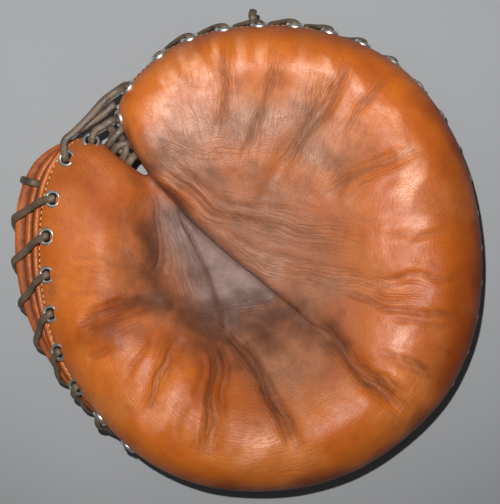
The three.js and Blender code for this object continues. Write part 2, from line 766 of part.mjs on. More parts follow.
const whipStations = [...fingerStations, ...thumbStations];
const eyeletStations = [...whipStations, ...Object.values(webAt)];
const palmHoles = eyeletStations.map((at) => {
  const [low, bend, high] = innerRun(at);
  const hole = holeSolid(bend, high);
  return rimAt(at).flare > 3 ? hole.add(holeSolid(low, bend)) : hole;
});
const coverHoles = whipStations.map((at) => {
  const [low, bend] = innerRun(at);
  return holeSolid(low, bend);
});
const mouth = new THREE.ExtrudeGeometry(mouthShape(), { depth: 60, bevelEnabled: false, curveSegments: 6 });
mouth.translate(0, 0, -5);
const studHole = new THREE.CylinderGeometry(STUD.shankR + STUD.gap, STUD.shankR + STUD.gap, 40, 16);
studHole.rotateX(Math.PI / 2).translate(STUD.x, STRAP.y, 0);

add("palm_pad", cut(palmGeometry(), palmHoles), palmLeather);
add("welt", weltGeometry(), weltLeather);
add("back_cover", cut(coverGeometry(), [solid(mouth), solid(studHole), ...coverHoles]), backLeather);
add("finger_lace", whipGeometry(fingerStations, 4), rawhide);
add("thumb_lace", whipGeometry(thumbStations, 5), rawhide);
add("web_lace_outer", webGeometry(webAt.finger_outer, WEB.outer, webAt.thumb_outer), rawhide);
add("web_lace_inner", webGeometry(webAt.finger_inner, WEB.inner, webAt.thumb_inner), rawhide);
add("web_lace_back", sweep(laceFrames(strand(WEB.back)), LACE_SECTION), rawhide);
add("web_lace_ladder", sweep(laceFrames(strand(WEB.ladder)), LACE_SECTION), rawhide);
add("wrist_strap", cut(strapGeometry(), [solid(studHole)]), backLeather);

const stud = add("strap_stud", studGeometry(), nickel, new THREE.Vector3(STUD.x, STRAP.y, 0));
stud.rotation.x = Math.PI / 2;

eyeletStations.map(eyeletSeat).forEach(({ at, normal }, i) => {
  const name = "eyelet_" + String(i + 1).padStart(2, "0");
  const ring = add(name, eyeletGeometry(), nickel, at.addScaledVector(normal, EYELET.lift));
  ring.quaternion.setFromUnitVectors(new THREE.Vector3(0, 1, 0), normal);
});

export default mitt;
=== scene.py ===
"""Looks of a padded leather catcher mitt, palm up, photographed from straight above.

The forms follow the part's tables and rules at a finer pitch, in millimetres, and add what the solids
leave out: sharp creases, wrinkles, stitching, rounded laces and the finish of each surface. Three tables
are nearer to the photo than the part's: the end of the slit is tighter, the fold's outline is smaller,
and the main creases are shallower.
"""

import functools
import math

import bmesh
import bpy
import numpy as np
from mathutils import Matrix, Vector


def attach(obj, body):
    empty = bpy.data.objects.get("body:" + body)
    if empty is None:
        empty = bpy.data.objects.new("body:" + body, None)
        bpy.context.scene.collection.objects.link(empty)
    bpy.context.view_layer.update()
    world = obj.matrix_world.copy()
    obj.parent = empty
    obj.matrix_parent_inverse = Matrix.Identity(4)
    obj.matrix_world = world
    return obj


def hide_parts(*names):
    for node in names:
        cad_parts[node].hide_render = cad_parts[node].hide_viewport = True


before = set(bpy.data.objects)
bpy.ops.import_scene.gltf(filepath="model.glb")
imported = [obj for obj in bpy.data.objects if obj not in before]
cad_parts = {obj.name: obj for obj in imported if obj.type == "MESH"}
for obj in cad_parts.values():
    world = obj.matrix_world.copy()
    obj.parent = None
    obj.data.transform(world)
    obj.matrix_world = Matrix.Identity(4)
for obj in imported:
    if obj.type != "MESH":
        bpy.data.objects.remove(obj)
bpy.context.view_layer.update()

MM = 0.001
TO_FRAME = np.array([0.4, -0.3, 0.0])  # from the tables' axes to the frame's, as in the part

# Driving sizes, from the part.
LEATHER = 3
POCKET = np.array([2.0, -38.0])
POCKET_Z = 43
PALM_UNDER_Z = 31
GUSSET_Z = 44
GUSSET_MIDDLE = np.array([-6.0, -24.0])
GUSSET_ROLL = 9
BOWL_POWER = 0.85
WELT_R = 2.4
WELT_DROP = 2.9
WELT_IN = 0.6
BEAD_DROP = 6.4
WELT_FLARE, BEAD_FLARE = 0.22, 0.5  # shares of the back's flare that the welt and the bead follow
WAIST_DROP = 12
COVER_INSET = 0.85  # share of the rim's inset over which the cover rounds to its floor
COVER_MIDDLE = np.array([2.0, 10.0])
STRAP_RISE = 4.5
RISE_FROM, RISE_OVER = -24, 38  # the y from which the cover's floor rises over the strap, and the way
LACE_HOLE_TURN = math.radians(30)
MOUTH_HALF, MOUTH_TOP, MOUTH_ROUND = 38, -24, 26
STRAP = {"y": -88, "wide": 26, "thick": 2.4, "bottom": 1.8, "from": -58, "to": 62}
STUD = {"x": 50, "head_r": 7, "head_h": 1.5, "shank_r": 2.6, "top": 10.4}

# Driving sizes of the looks alone.
GUSSET_SLOPE = 32  # on the thumb's side the leather slopes down to the gusset over this much
GUSSET_BLEND = 12  # width of the change from one side's slope to the other's
LACE_WIDTH = 4.7  # of the rounded thong, which the solids draw flatter
LACE_THICK = 3.2
LACE_HEAD = 3.6  # from the leather up to a thong's middle over an eyelet
LACE_CLEAR = 0.2  # between a thong and what it lies on
# How far along the leather an eyelet is from the seam: on the thumb by y, elsewhere by x.
THUMB_FROM_SEAM = ((-125, -60, -35, -11, 10, 35, 70), (6.6, 8, 9, 10.3, 10, 12, 13))
FINGER_FROM_SEAM = ((-72, -56, 0, 60, 110), (9, 8, 7, 6.6, 5.8))
THUMB_UP_TO_X = -60  # where the thumb's distances end at the heel

# Stations around the edge of the palm leather, from the heel towards the little finger.
# inset: from the edge in to the crown of the rim. edge: height of the edge. full: 2 for a round rim.
# tuck, drop: how far the seam lies in under the edge, and below it. flare: how far the back stands out.
RIM_COLUMNS = ("x", "y", "inset", "edge", "tuck", "drop", "flare", "full")
RIM = np.array([
    (-2, -146.5, 38, 50, 7, 12, 0, 2),
    (32, -144.5, 38, 50, 7, 12, 0, 2),
    (66, -134, 38, 49, 8, 12, 0, 2),
    (97, -114, 38, 48, 8, 12, 0, 2),
    (122, -88, 38, 47, 8, 12, 0, 2),
    (138, -56, 38, 46, 8, 12, 0, 2),
    (144.5, -22, 38, 45, 8, 12, 0, 2),
    (144, 14, 38, 45, 8, 12, 0, 2),
    (136.5, 51, 38, 45, 8, 12, 0, 2),
    (121, 85, 36, 45, 7, 11, 0, 2),
    (99, 112, 34, 44, 5, 9, 0, 2),
    (71, 130, 32, 44, 3, 7, 0, 1.9),
    (38, 140, 30, 44, 1, 5, 2, 1.8),
    (6, 141.5, 30, 44, 1, 5, 2, 1.8),
    (-25, 137, 30, 44, 1, 5, 2, 1.8),
    (-49, 127, 28, 45, 1, 5, 2, 1.8),
    (-65, 113.5, 26, 47, 1, 5, 2, 1.8),
    (-75.5, 101, 24, 49, 1, 5, 1, 1.8),
    (-80, 89.5, 21, 50, 2, 6, 0, 1.9),
    (-77, 77, 18, 50, 2, 6, 0, 2),
    (-71, 64, 15, 50, 3, 8, 0, 2),
    (-64.8, 54.8, 13, 50, 3, 8, 0, 2),
    (-62, 49.8, 12, 50, 3, 8, 0, 2),
    (-65, 49.3, 12, 50, 3, 8, 0, 2),
    (-71.8, 53.8, 14, 50, 3, 8, 0, 2),
    (-80.5, 60.3, 17, 50, 3, 8, 0, 1.9),
    (-91, 68.5, 21, 50, 2, 6, 0, 1.7),
    (-101, 71.5, 25, 50, 1, 5, 1, 1.4),
    (-112, 65.5, 30, 50, 0, 4, 6, 1.2),
    (-121, 51, 40, 50, 0, 3, 14, 1.1),
    (-126.5, 31.5, 46, 50, 0, 3, 17, 1.1),
    (-128.5, 9, 48, 50, 0, 3, 17, 1.1),
    (-128, -13, 48, 50, 0, 3, 16, 1.1),
    (-125, -34, 46, 50, 0, 3, 14, 1.1),
    (-120, -54.5, 44, 50, 0, 4, 10, 1.2),
    (-111, -73, 42, 50, 0, 5, 7, 1.4),
    (-99, -91, 40, 50, 1, 6, 5, 1.6),
    (-84, -109.5, 38, 50, 3, 8, 3, 1.8),
    (-61, -129, 38, 50, 5, 10, 1, 2),
    (-32, -142, 38, 50, 7, 12, 0, 2),
])
STATIONS = len(RIM)

# The crown of the rim as seen from the pocket, every 30 degrees: reach, height.
CROWN = np.array([
    (97, 85), (112, 82), (142, 76), (141, 72), (134, 70), (112, 72),
    (86, 76), (72, 81), (74, 86), (79, 89), (88, 91), (95, 89),
])

# Outline of the gusset, the fold at the slit's end: station that its leather comes from, x, y.
GUSSET = np.array([
    (0, -2, -32), (3.4, 14, -29), (6, 17, -25), (9, 9, -18), (12, -6, -6),
    (15, -20, 6), (18, -31, 16), (21, -41, 26), (22.5, -43, 27), (24, -43, 24),
    (27, -39, 15), (30, -34, 6), (33, -27, -7), (35, -22, -20), (37, -15, -31),
])

# Main creases, and last the thumb lobe's slope to the fold: depth, half width, path.
VALLEYS = [
    (6.6, 5.8, [(32, -36), (56, -56), (73, -76), (100, -101)]),
    (6, 5.8, [(-10, -42), (-2, -63), (18, -90), (34, -124)]),
    (4.2, 6.2, [(-104, -46), (-90, -39), (-72, -32), (-48, -27)]),
    (6, 8, [(-64, 44), (-58, 21), (-54, -1), (-61, -26)]),
    (4.2, 5.8, [(-12, -50), (-14, -75), (-20, -101), (-24, -128)]),
    (3.6, 6, [(-38, -44), (-52, -74), (-66, -108)]),
    (3, 6.5, [(0, 20), (25, 61), (40, 83), (60, 118)]),
    (2.6, 7, [(44, 34), (73, 50), (106, 65)]),
    (3, 7, [(44, -12), (79, -20), (114, -20)]),
    (8, 6, [(-74, 54), (-60, 43), (-46, 30), (-34, 20)]),
    (6, 21, [(-70, 66), (-66, 40), (-63, 16), (-62, -8), (-66, -40)]),
]

# Edges of leather that stand up on one side of a fold, the left as the path runs:
# height of the lip, depth of the trough at its foot, how far the lip reaches, path.
FOLDS = [
    (1.6, 0.9, 3.4, [(-76, 81), (-71, 66), (-65, 55), (-58, 46), (-49, 37), (-38, 26), (-28, 15)]),
    (3.4, 1.6, 9, [
        (-63, 51), (-52, 38), (-43, 28), (-30, 14), (-11, -3),
        (9, -18), (20, -27), (32, -38), (46, -50), (58, -62),
    ]),
    (1.4, 1.5, 5, [(-43, 25), (-35, 10), (-28, -5), (-22, -20), (-16, -41), (-8, -58)]),
]

# Sharp creases in the leather: depth, half width, path. The deep ones are a pair of lines.
DOUBLE_FROM = 1.45
CREASES = [
    (2.0, 1.6, [(34, -38), (51, -50), (64, -67), (79, -81), (93, -91)]),
    (1.8, 1.5, [(60, -58), (68, -66), (85, -77), (98, -89)]),
    (1.3, 1.3, [(72, -72), (82, -83), (95, -96)]),
    (1.8, 1.3, [(72, -56), (97, -63), (124, -74)]),
    (1.4, 1.3, [(76, -61), (100, -69), (118, -77)]),
    (1.9, 1.5, [(-16, -42), (-10, -50), (1, -66), (10, -84), (19, -100), (24, -115), (28, -130)]),
    (1.8, 1.5, [(-2, -56), (12, -79), (22, -97), (29, -114), (34, -129)]),
    (1.3, 1.3, [(10, -72), (17, -88), (27, -106), (37, -124)]),
    (1.7, 1.4, [(-24, -48), (-22, -62), (-21, -76), (-23, -91), (-25, -109), (-24, -122)]),
    (1.6, 1.4, [(-17, -50), (-13, -70), (-15, -90), (-18, -106)]),
    (1.2, 1.3, [(-30, -56), (-29, -76), (-33, -96)]),
    (1.5, 1.4, [(-42, -50), (-48, -64), (-53, -73), (-58, -88), (-63, -104)]),
    (1.0, 1.2, [(-35, -86), (-40, -102), (-43, -116)]),
    (1.2, 1.4, [(-54, -46), (-66, -63), (-76, -80)]),
    (1.4, 1.8, [(-111, -48), (-94, -38), (-74, -33), (-53, -28)]),
    (1.3, 1.4, [(-100, -36), (-84, -31), (-68, -27)]),
    (1.5, 1.5, [(-99, -67), (-90, -61), (-80, -54)]),
    (1.0, 1.2, [(-113, -4), (-98, -3), (-80, -3)]),
    (0.9, 1.2, [(-112, -9), (-98, -8), (-84, -7)]),
    (0.9, 1.2, [(-114, -26), (-103, -24), (-90, -22)]),
    (1.8, 1.5, [(-63, 46), (-57, 28), (-53.5, 10), (-56, -6), (-63, -24)]),
    (1.2, 1.4, [(-56, 32), (-51, 14), (-47, -4), (-52, -20)]),
    (1.4, 1.3, [(-13, 130), (-13, 105), (-16, 90), (-17.5, 72)]),
    (1.5, 1.3, [(19, 130), (16.7, 111), (11.6, 95.5), (4.3, 80), (-3, 64.5), (-6, 48)]),
    (1.7, 1.4, [(64, 121), (57, 111), (50, 99.6), (41.5, 85), (34, 72.7), (27, 62.4), (19, 50)]),
    (1.0, 1.2, [(62, 112), (54, 98), (45.5, 84), (38, 72)]),
    (1.3, 1.3, [(84, 111), (75.6, 100.6), (67.4, 88.2), (59, 78)]),
    (0.8, 1.2, [(80, 101), (72, 90), (64, 80)]),
    (1.4, 1.7, [(109, 69), (92, 60), (76, 52), (60, 45), (45, 33)]),
    (0.8, 1.6, [(103, 71), (88, 63.5), (72, 56), (58, 48.5)]),
    (0.6, 1.4, [(110, 57), (92, 47), (78, 41)]),
    (1.2, 1.4, [(124, 11), (97, 14), (72, 10)]),
    (1.4, 1.3, [(137, -15), (118, -15), (97, -13), (64, -16)]),
    (1.6, 1.3, [(136, -41), (118, -38), (94, -33), (64, -26), (40, -16)]),
    (1.3, 1.2, [(130, -47), (106, -42), (80, -35)]),
    (1.0, 1.2, [(132, 10), (112, 12), (92, 8)]),
    (1.0, 1.2, [(134, -64), (118, -58), (104, -54)]),
    (1.6, 1.5, [(-58, 56), (-41, 41), (-20, 26), (8, 17), (42, 10)]),
    (1.2, 1.3, [(-50, 58), (-30, 42), (-6, 31), (30, 26)]),
    (1.1, 1.3, [(-36, 30), (-14, 13), (9, 2), (38, -5), (64, -11)]),
]

# Bands of fine wrinkles that run along a path: strength, spacing, half width of the band, path.
WRINKLES = [
    (1.0, 2.6, 13, [(-62, 62), (-42, 44), (-20, 28), (10, 18), (50, 10), (84, 8)]),
    (0.9, 2.4, 11, [(-30, 22), (-8, 4), (14, -8), (44, -14), (84, -22), (134, -28)]),
    (1.0, 2.0, 6, [(-6, 44), (4.3, 80), (11.6, 95.5), (16.7, 111), (19.5, 134)]),
    (1.0, 2.0, 7, [(14, 42), (34, 72.7), (50, 99.6), (66, 126)]),
    (0.8, 2.0, 6, [(54, 70), (67.4, 88.2), (86, 114)]),
    (1.0, 2.0, 5.5, [(-18, 62), (-16, 90), (-13, 105), (-13, 136)]),
    (0.7, 2.2, 7, [(-68, 74), (-45, 66), (-27, 61), (-8, 64), (30, 69)]),
    (0.8, 2.4, 10, [(34, -38), (64, -66), (92, -90), (104, -100)]),
    (1.0, 2.0, 8, [(-14, -42), (1, -66), (10, -84), (19, -100), (30, -130)]),
    (1.0, 2.0, 7, [(-24, -44), (-21, -76), (-25, -109), (-24, -126)]),
    (0.8, 2.0, 7, [(-40, -46), (-53, -73), (-64, -108)]),
    (0.8, 2.4, 9, [(-108, -48), (-84, -40), (-54, -30)]),
    (1.0, 2.0, 14, [(-52, 38), (-44, 12), (-38, -10), (-30, -32)]),
    (0.9, 1.8, 8, [(-48, -34), (-24, -38), (0, -34), (20, -30)]),
    (0.7, 2.6, 9, [(45, 33), (60, 45), (76, 52), (92, 60), (109, 69)]),
]


def spline(a, b, c, d, t):
    """The place between b and c at a share t, on a smooth curve through a, b, c and d."""
    return (2 * b + (c - a) * t + (2 * a - 5 * b + 4 * c - d) * t**2 + (3 * b - a - 3 * c + d) * t**3) / 2


def catmull_rom(rows, at):
    """A closed table read at fractional rows."""
    at = np.asarray(at, float)
    row = np.floor(at).astype(int)
    return spline(*(rows[(row + k) % len(rows)] for k in (-1, 0, 1, 2)), (at - row)[..., None])


class Rim:
    """The edge at fractional stations: a column for each table name, and the outward direction."""

    STEP = 0.02

    def __init__(self, at):
        self.at = np.atleast_1d(np.asarray(at, float))
        values = catmull_rom(RIM, self.at)
        for i, name in enumerate(RIM_COLUMNS):
            setattr(self, name, values[:, i])
        ahead, behind = (catmull_rom(RIM, self.at + step)[:, :2] for step in (self.STEP, -self.STEP))
        way = ahead - behind
        self.out = np.stack([way[:, 1], -way[:, 0]], 1) / np.linalg.norm(way, axis=1)[:, None]
        self.seam = self.edge - self.drop
        self.welt_out = self.flare * WELT_FLARE - self.tuck - WELT_IN
        self.bead_out = self.flare * BEAD_FLARE - self.tuck
        self.waist_out = self.flare - self.tuck
        self.waist_height = self.seam - WAIST_DROP
        self.cover_inset = self.inset * COVER_INSET

    def offset(self, out):
        """Plan points moved out from the edge."""
        out = np.broadcast_to(out, self.at.shape)
        return np.stack([self.x, self.y], 1) + self.out * out[:, None]


samples = Rim(np.arange(STATIONS * 6) / 6)


def smoothstep(t):
    t = np.clip(t, 0, 1)
    return t * t * (3 - 2 * t)


def in_chunks(function, points, size=20000):
    return np.concatenate([function(points[i:i + size]) for i in range(0, len(points), size)])


def rim_blend(points):
    """Edge height, fullness and 0-to-1 share of the roll at plan points."""
    gaps = points[:, None, :] - np.stack([samples.x, samples.y], 1)[None]
    square = (gaps**2).sum(2)
    weight = 1 / (square**2 + 1)
    weight /= weight.sum(1)[:, None]
    nearest = (np.sqrt(square) / samples.inset).argmin(1)
    share = np.minimum(span_share(points, nearest), span_share(points, nearest + 1))
    return np.stack([weight @ samples.edge, weight @ samples.full, np.minimum(1, share)], 1)


def span_share(points, i):
    """Distance to the edge between samples i - 1 and i, as a share of the roll's width."""
    start, end = (i - 1) % len(samples.x), i % len(samples.x)
    outline = np.stack([samples.x, samples.y], 1)
    way = outline[end] - outline[start]
    t = np.clip(((points - outline[start]) * way).sum(1) / (way**2).sum(1), 0, 1)
    off = points - outline[start] - way * t[:, None]
    return np.hypot(*off.T) / (samples.inset[start] + (samples.inset[end] - samples.inset[start]) * t)


def path_distance(points, path):
    """Distance to a path, share of the way along it, and the side that a point lies on."""
    path = np.asarray(path, float)
    best = np.full(len(points), np.inf)
    along = np.zeros(len(points))
    side = np.zeros(len(points))
    for i, (a, b) in enumerate(zip(path[:-1], path[1:])):
        way = b - a
        t = np.clip(((points - a) @ way) / (way @ way), 0, 1)
        off = points - (a + t[:, None] * way)
        distance = np.hypot(off[:, 0], off[:, 1])
        nearer = distance < best
        best = np.where(nearer, distance, best)
        along = np.where(nearer, (i + t) / (len(path) - 1), along)
        side = np.where(nearer, np.sign(way[0] * off[:, 1] - way[1] * off[:, 0]), side)
    return best, along, side


GUSSET_LOOP = np.vstack([GUSSET[:, 1:], GUSSET[:1, 1:]])
GUSSET_AXIS = [(-50, 36), (-30, 4), (-6, -34), (4, -60)]


def inside(points, loop):
    """Which plan points lie inside a closed loop."""
    x, y = points[:, 0], points[:, 1]
    result = np.zeros(len(points), bool)
    for (x1, y1), (x2, y2) in zip(loop[:-1], loop[1:]):
        crosses = ((y1 > y) != (y2 > y)) & (x < x1 + (y - y1) * (x2 - x1) / (y2 - y1 + 1e-12))
        result ^= crosses
    return result


def from_pocket(points):
    """Direction and distance from the pocket, and how far off and high the rim's crown is that way."""
    off = points - POCKET
    angle = np.arctan2(off[:, 1], off[:, 0])
    reach, height = catmull_rom(CROWN, angle / (2 * math.pi) * len(CROWN)).T
    return angle, np.hypot(off[:, 0], off[:, 1]), reach, height


def bowl_height(points):
    _, distance, reach, height = from_pocket(points)
    share = np.minimum(1, distance / reach)
    return POCKET_Z + (height - POCKET_Z) * (0.5 - 0.5 * np.cos(math.pi * share**BOWL_POWER))


def gusset_lobe(points):
    """0 on the gusset's floor, rising to 1 over the lobes beside it, gently on the thumb's side."""
    distance = path_distance(points, GUSSET_LOOP)[0]
    distance[inside(points, GUSSET_LOOP)] = 0
    side = path_distance(points, GUSSET_AXIS)
    thumb_side = smoothstep(0.5 - side[2] * side[0] / GUSSET_BLEND)
    steep = np.minimum(1, distance / GUSSET_ROLL)
    gentle = np.minimum(1, distance / GUSSET_SLOPE)
    return np.sqrt(1 - (1 - steep) ** 2) * (1 - thumb_side) + smoothstep(gentle) ** 0.8 * thumb_side


MAIN_FADE = 0.25  # share of its length over which a main crease or a band of wrinkles dies out


def palm_height(points):
    """The palm's surface over plan points, by the part's rules."""
    points = np.atleast_2d(points)
    edge, full, share = in_chunks(rim_blend, points).T
    z = edge + (bowl_height(points) - edge) * (1 - (1 - share) ** 2) ** (1 / full)
    lobe = gusset_lobe(points)
    z = np.where(z > GUSSET_Z, GUSSET_Z + (z - GUSSET_Z) * lobe, z)
    for depth, half, path in VALLEYS:
        distance, along, _ = path_distance(points, path)
        fade = smoothstep(np.minimum(along, 1 - along) / MAIN_FADE)
        z = z - depth * fade * lobe * np.exp(-((distance / half) ** 2))
    return z


def value_noise(points, scale, seed):
    """Smooth noise between -1 and 1 with cells of the given size."""
    grid = np.random.default_rng(seed).uniform(-1, 1, (97, 97))
    at = np.asarray(points, float) / scale + 40
    cell = np.floor(at).astype(int)
    t = at - cell
    t = t * t * (3 - 2 * t)
    i, j = cell[:, 0] % 96, cell[:, 1] % 96
    low = grid[i, j] * (1 - t[:, 0]) + grid[i + 1, j] * t[:, 0]
    high = grid[i, j + 1] * (1 - t[:, 0]) + grid[i + 1, j + 1] * t[:, 0]
    return low * (1 - t[:, 1]) + high * t[:, 1]


def wander(points, size=2.2):
    """Plan points shifted a little, so that creases don't run straight."""
    shift = np.stack([value_noise(points, 17, 1), value_noise(points, 17, 2)], 1)
    fine = np.stack([value_noise(points, 6, 3), value_noise(points, 6, 4)], 1)
    return points + size * shift + size * 0.3 * fine


# Shape of a crease, in half widths: a pair of grooves or one, the hollow around them, the lips beside.
PAIR_AT, PAIR_WIDTH = 0.95, 0.62
GROOVE_WIDTH = 0.8
HOLLOW_WIDTH = 2.3
LIP_AT, LIP_WIDTH = 3, 1.6
CREASE_FADE = 0.3  # share of its length over which a crease dies out


def crease_relief(points):
    """Height of the sharp creases, and the painted shade at each point in a crease or under a fold's lip,
    from 0 to 1.
    """
    bent = wander(points)
    height = np.zeros(len(points))
    shade_share = np.zeros(len(points))
    lobe = gusset_lobe(points)
    for depth, half, path in CREASES:
        distance, along, _ = path_distance(bent, path)
        fade = smoothstep(np.minimum(along, 1 - along) / CREASE_FADE) * np.maximum(lobe, 0.4)
        pair = np.exp(-(((distance - PAIR_AT * half) / (PAIR_WIDTH * half)) ** 2))
        hollow = np.exp(-((distance / (HOLLOW_WIDTH * half)) ** 2))
        single = np.exp(-((distance / (GROOVE_WIDTH * half)) ** 1.4))
        shaded_groove = pair if depth > DOUBLE_FROM else single
        lip = np.exp(-(((distance - LIP_AT * half) / (LIP_WIDTH * half)) ** 2))
        height += depth * fade * (0.2 * lip - 0.5 * shaded_groove - 0.45 * hollow)
        # Painted shade in the crease's grooves and hollow.
        shade_share = np.maximum(shade_share, fade * (0.75 * shaded_groove + 0.25 * hollow) * min(1, depth / 2))
    slightly_bent = wander(points, 0.7)
    for lip, trough, reach, path in FOLDS:
        distance, along, side = path_distance(slightly_bent, path)
        fade = smoothstep(np.minimum(along / 0.08, (1 - along) / CREASE_FADE))
        above = np.maximum(distance * side, 0)
        below = np.maximum(-distance * side, 0)
        raised_lip = lip * (1 - np.exp(-above / 1.1)) * np.exp(-above / reach)
        height += fade * np.where(side > 0, raised_lip, 0) - fade * trough * np.exp(-(distance / 2) ** 1.4)
        # Painted shadow under the fold's lip, spreading further on its low side.
        dark = np.exp(-(np.where(side > 0, above * 1.6, below * 0.55) ** 1.2))
        shade_share = np.maximum(shade_share, fade * dark)
    return height, shade_share


WRINKLE_LENGTH = 34  # along a band, for one cell of its noise
BAND_LEVEL = 9.0  # sets each band's noise apart from the next


def wrinkle_flow(points):
    """Coordinates across and along the nearest band of wrinkles, and how strong it is."""
    bent = wander(points, 2)
    flow = np.zeros((len(points), 3))
    strongest = np.zeros(len(points))
    second = np.zeros(len(points))
    for i, (strength, spacing, half, path) in enumerate(WRINKLES):
        distance, along, side = path_distance(bent, path)
        length = sum(math.dist(a, b) for a, b in zip(path[:-1], path[1:]))
        fade = smoothstep(np.minimum(along, 1 - along) / MAIN_FADE)
        weight = strength * fade * np.exp(-((distance / half) ** 2))
        level = np.full(len(points), BAND_LEVEL * i)
        across = np.stack([distance * side / spacing, along * length / WRINKLE_LENGTH, level], 1)
        flow = np.where((weight > strongest)[:, None], across, flow)
        second = np.maximum(second, np.minimum(weight, strongest))
        strongest = np.maximum(strongest, weight)
    return flow, strongest * smoothstep((strongest - second) / 0.22)


def link(obj):
    bpy.context.scene.collection.objects.link(obj)
    return obj


def make_mesh(name, points, faces):
    """An object from points in the tables' millimetres."""
    mesh = bpy.data.meshes.new(name)
    mesh.from_pydata(((np.asarray(points) + TO_FRAME) * MM).tolist(), [], faces)
    mesh.validate()
    turn_outward(mesh)
    mesh.shade_smooth()
    return link(bpy.data.objects.new(name, mesh))


def turn_outward(mesh):
    """Turns the faces of each closed part of a mesh to its outside."""
    work = bmesh.new()
    work.from_mesh(mesh)
    bmesh.ops.recalc_face_normals(work, faces=work.faces)
    work.to_mesh(mesh)
    work.free()


def loft_faces(rings, columns, start=0):
    """Quads between closed rings of points that are stored one ring after another."""
    r, c = np.meshgrid(np.arange(rings - 1), np.arange(columns), indexing="ij")
    a = start + r * columns + c
    d = start + r * columns + (c + 1) % columns
    return np.stack([a, a + columns, d + columns, d], -1).reshape(-1, 4).tolist()


def loft(name, rings, first=None, last=None):
    """Rings of equal length joined into a surface, with a point closing an end where one is given."""
    count, columns = len(rings), len(rings[0])
    points = np.concatenate(rings)
    faces = loft_faces(count, columns)
    for cap, ring, turned in ((first, 0, False), (last, count - 1, True)):
        if cap is None:
            continue
        points = np.vstack([points, cap])
        tip = len(points) - 1
        base = ring * columns
        for c in range(columns):
            edge = (base + c, base + (c + 1) % columns)
            faces.append((tip, edge[1], edge[0]) if turned else (tip, *edge))
    return make_mesh(name, points, faces)


class Gathered:
    """Many small pieces, each a loft with flat ends or a closed one, that become one mesh."""

    def __init__(self):
        self.points, self.faces = [], []

    def add(self, rings, ends=True):
        start, size = len(self.points), len(rings[0])
        self.points += list(np.concatenate(rings))
        self.faces += loft_faces(len(rings), size, start)
        if ends:
            last = len(self.points) - size
            self.faces += [list(range(first, first + size)) for first in (start, last)]

    def mesh(self, name):
        return make_mesh(name, self.points, self.faces)


def shrink(ring, amount, passes):
    """The part's own inward step in plan: each point moves in, then the ring is evened out."""
    before, after = np.roll(ring, 1, 0), np.roll(ring, -1, 0)
    way = before - after
    inwards = np.stack([way[:, 1], -way[:, 0]], 1)
    ring = ring + inwards / np.linalg.norm(inwards, axis=1)[:, None] * np.asarray(amount)[..., None]
    for _ in range(passes):
        ring = ring * 0.5 + (np.roll(ring, 1, 0) + np.roll(ring, -1, 0)) * 0.25
    return ring


def gusset_points(at):
    """Where the leather from each station meets the gusset, in plan."""
    ends = np.vstack([GUSSET, GUSSET[0]])
    ends[-1, 0] = STATIONS
    return np.stack([np.interp(at, ends[:, 0], ends[:, k]) for k in (1, 2)], 1)


def raised(ring, height):
    """A plan ring at a height, or at a height for each point."""
    return np.column_stack([ring, np.broadcast_to(height, len(ring))])


# Pitch of the fine mesh: columns for each station, then rings in each stretch.
PER_STATION = 15
ROLL_STEPS = 34
BOWL_STEPS = 78
GUSSET_STEPS = 10
FLOOR_STEPS = 14
# Where the gusset's roll ends: in widths of the roll, and at most this share of the way to the crown.
SHOULDER, SHOULDER_MOST = 1.15, 0.6


def palm_plan(rim):
    """Rings in plan from the gusset's outline to the edge, spaced for fine relief."""
    rings = [rim.offset(0)]
    turns = np.arange(ROLL_STEPS + 1) / ROLL_STEPS * math.pi / 2
    for before, after in zip(turns[:-1], turns[1:]):
        rings.append(shrink(rings[-1], rim.inset * (math.cos(before) - math.cos(after)), 6))
    crown = rings[-1]
    start = gusset_points(rim.at)
    length = np.linalg.norm(crown - start, axis=1)
    share = np.minimum(GUSSET_ROLL * SHOULDER / length, SHOULDER_MOST)
    shoulder = start + (crown - start) * share[:, None]
    rings += [shoulder + (crown - shoulder) * (k / BOWL_STEPS) for k in range(BOWL_STEPS - 1, -1, -1)]
    for k in range(GUSSET_STEPS - 1, -1, -1):
        share = 1 - math.cos(k / GUSSET_STEPS * math.pi / 2)
        rings.append(start + (shoulder - start) * share)
    return rings[::-1]


# Soft unevenness of the leather: height, size, seed.
UNEVEN = ((0.81, 24, 5), (0.45, 11, 6), (0.162, 4.5, 7))
# How the gusset's thin leather sags: height, size and seed of its unevenness, and its depth.
SAG, SAG_DEPTH = (1.2, 14, 8), 0.8
RELIEF_FROM = 0.25  # share of the rim's roll over which the relief sets in


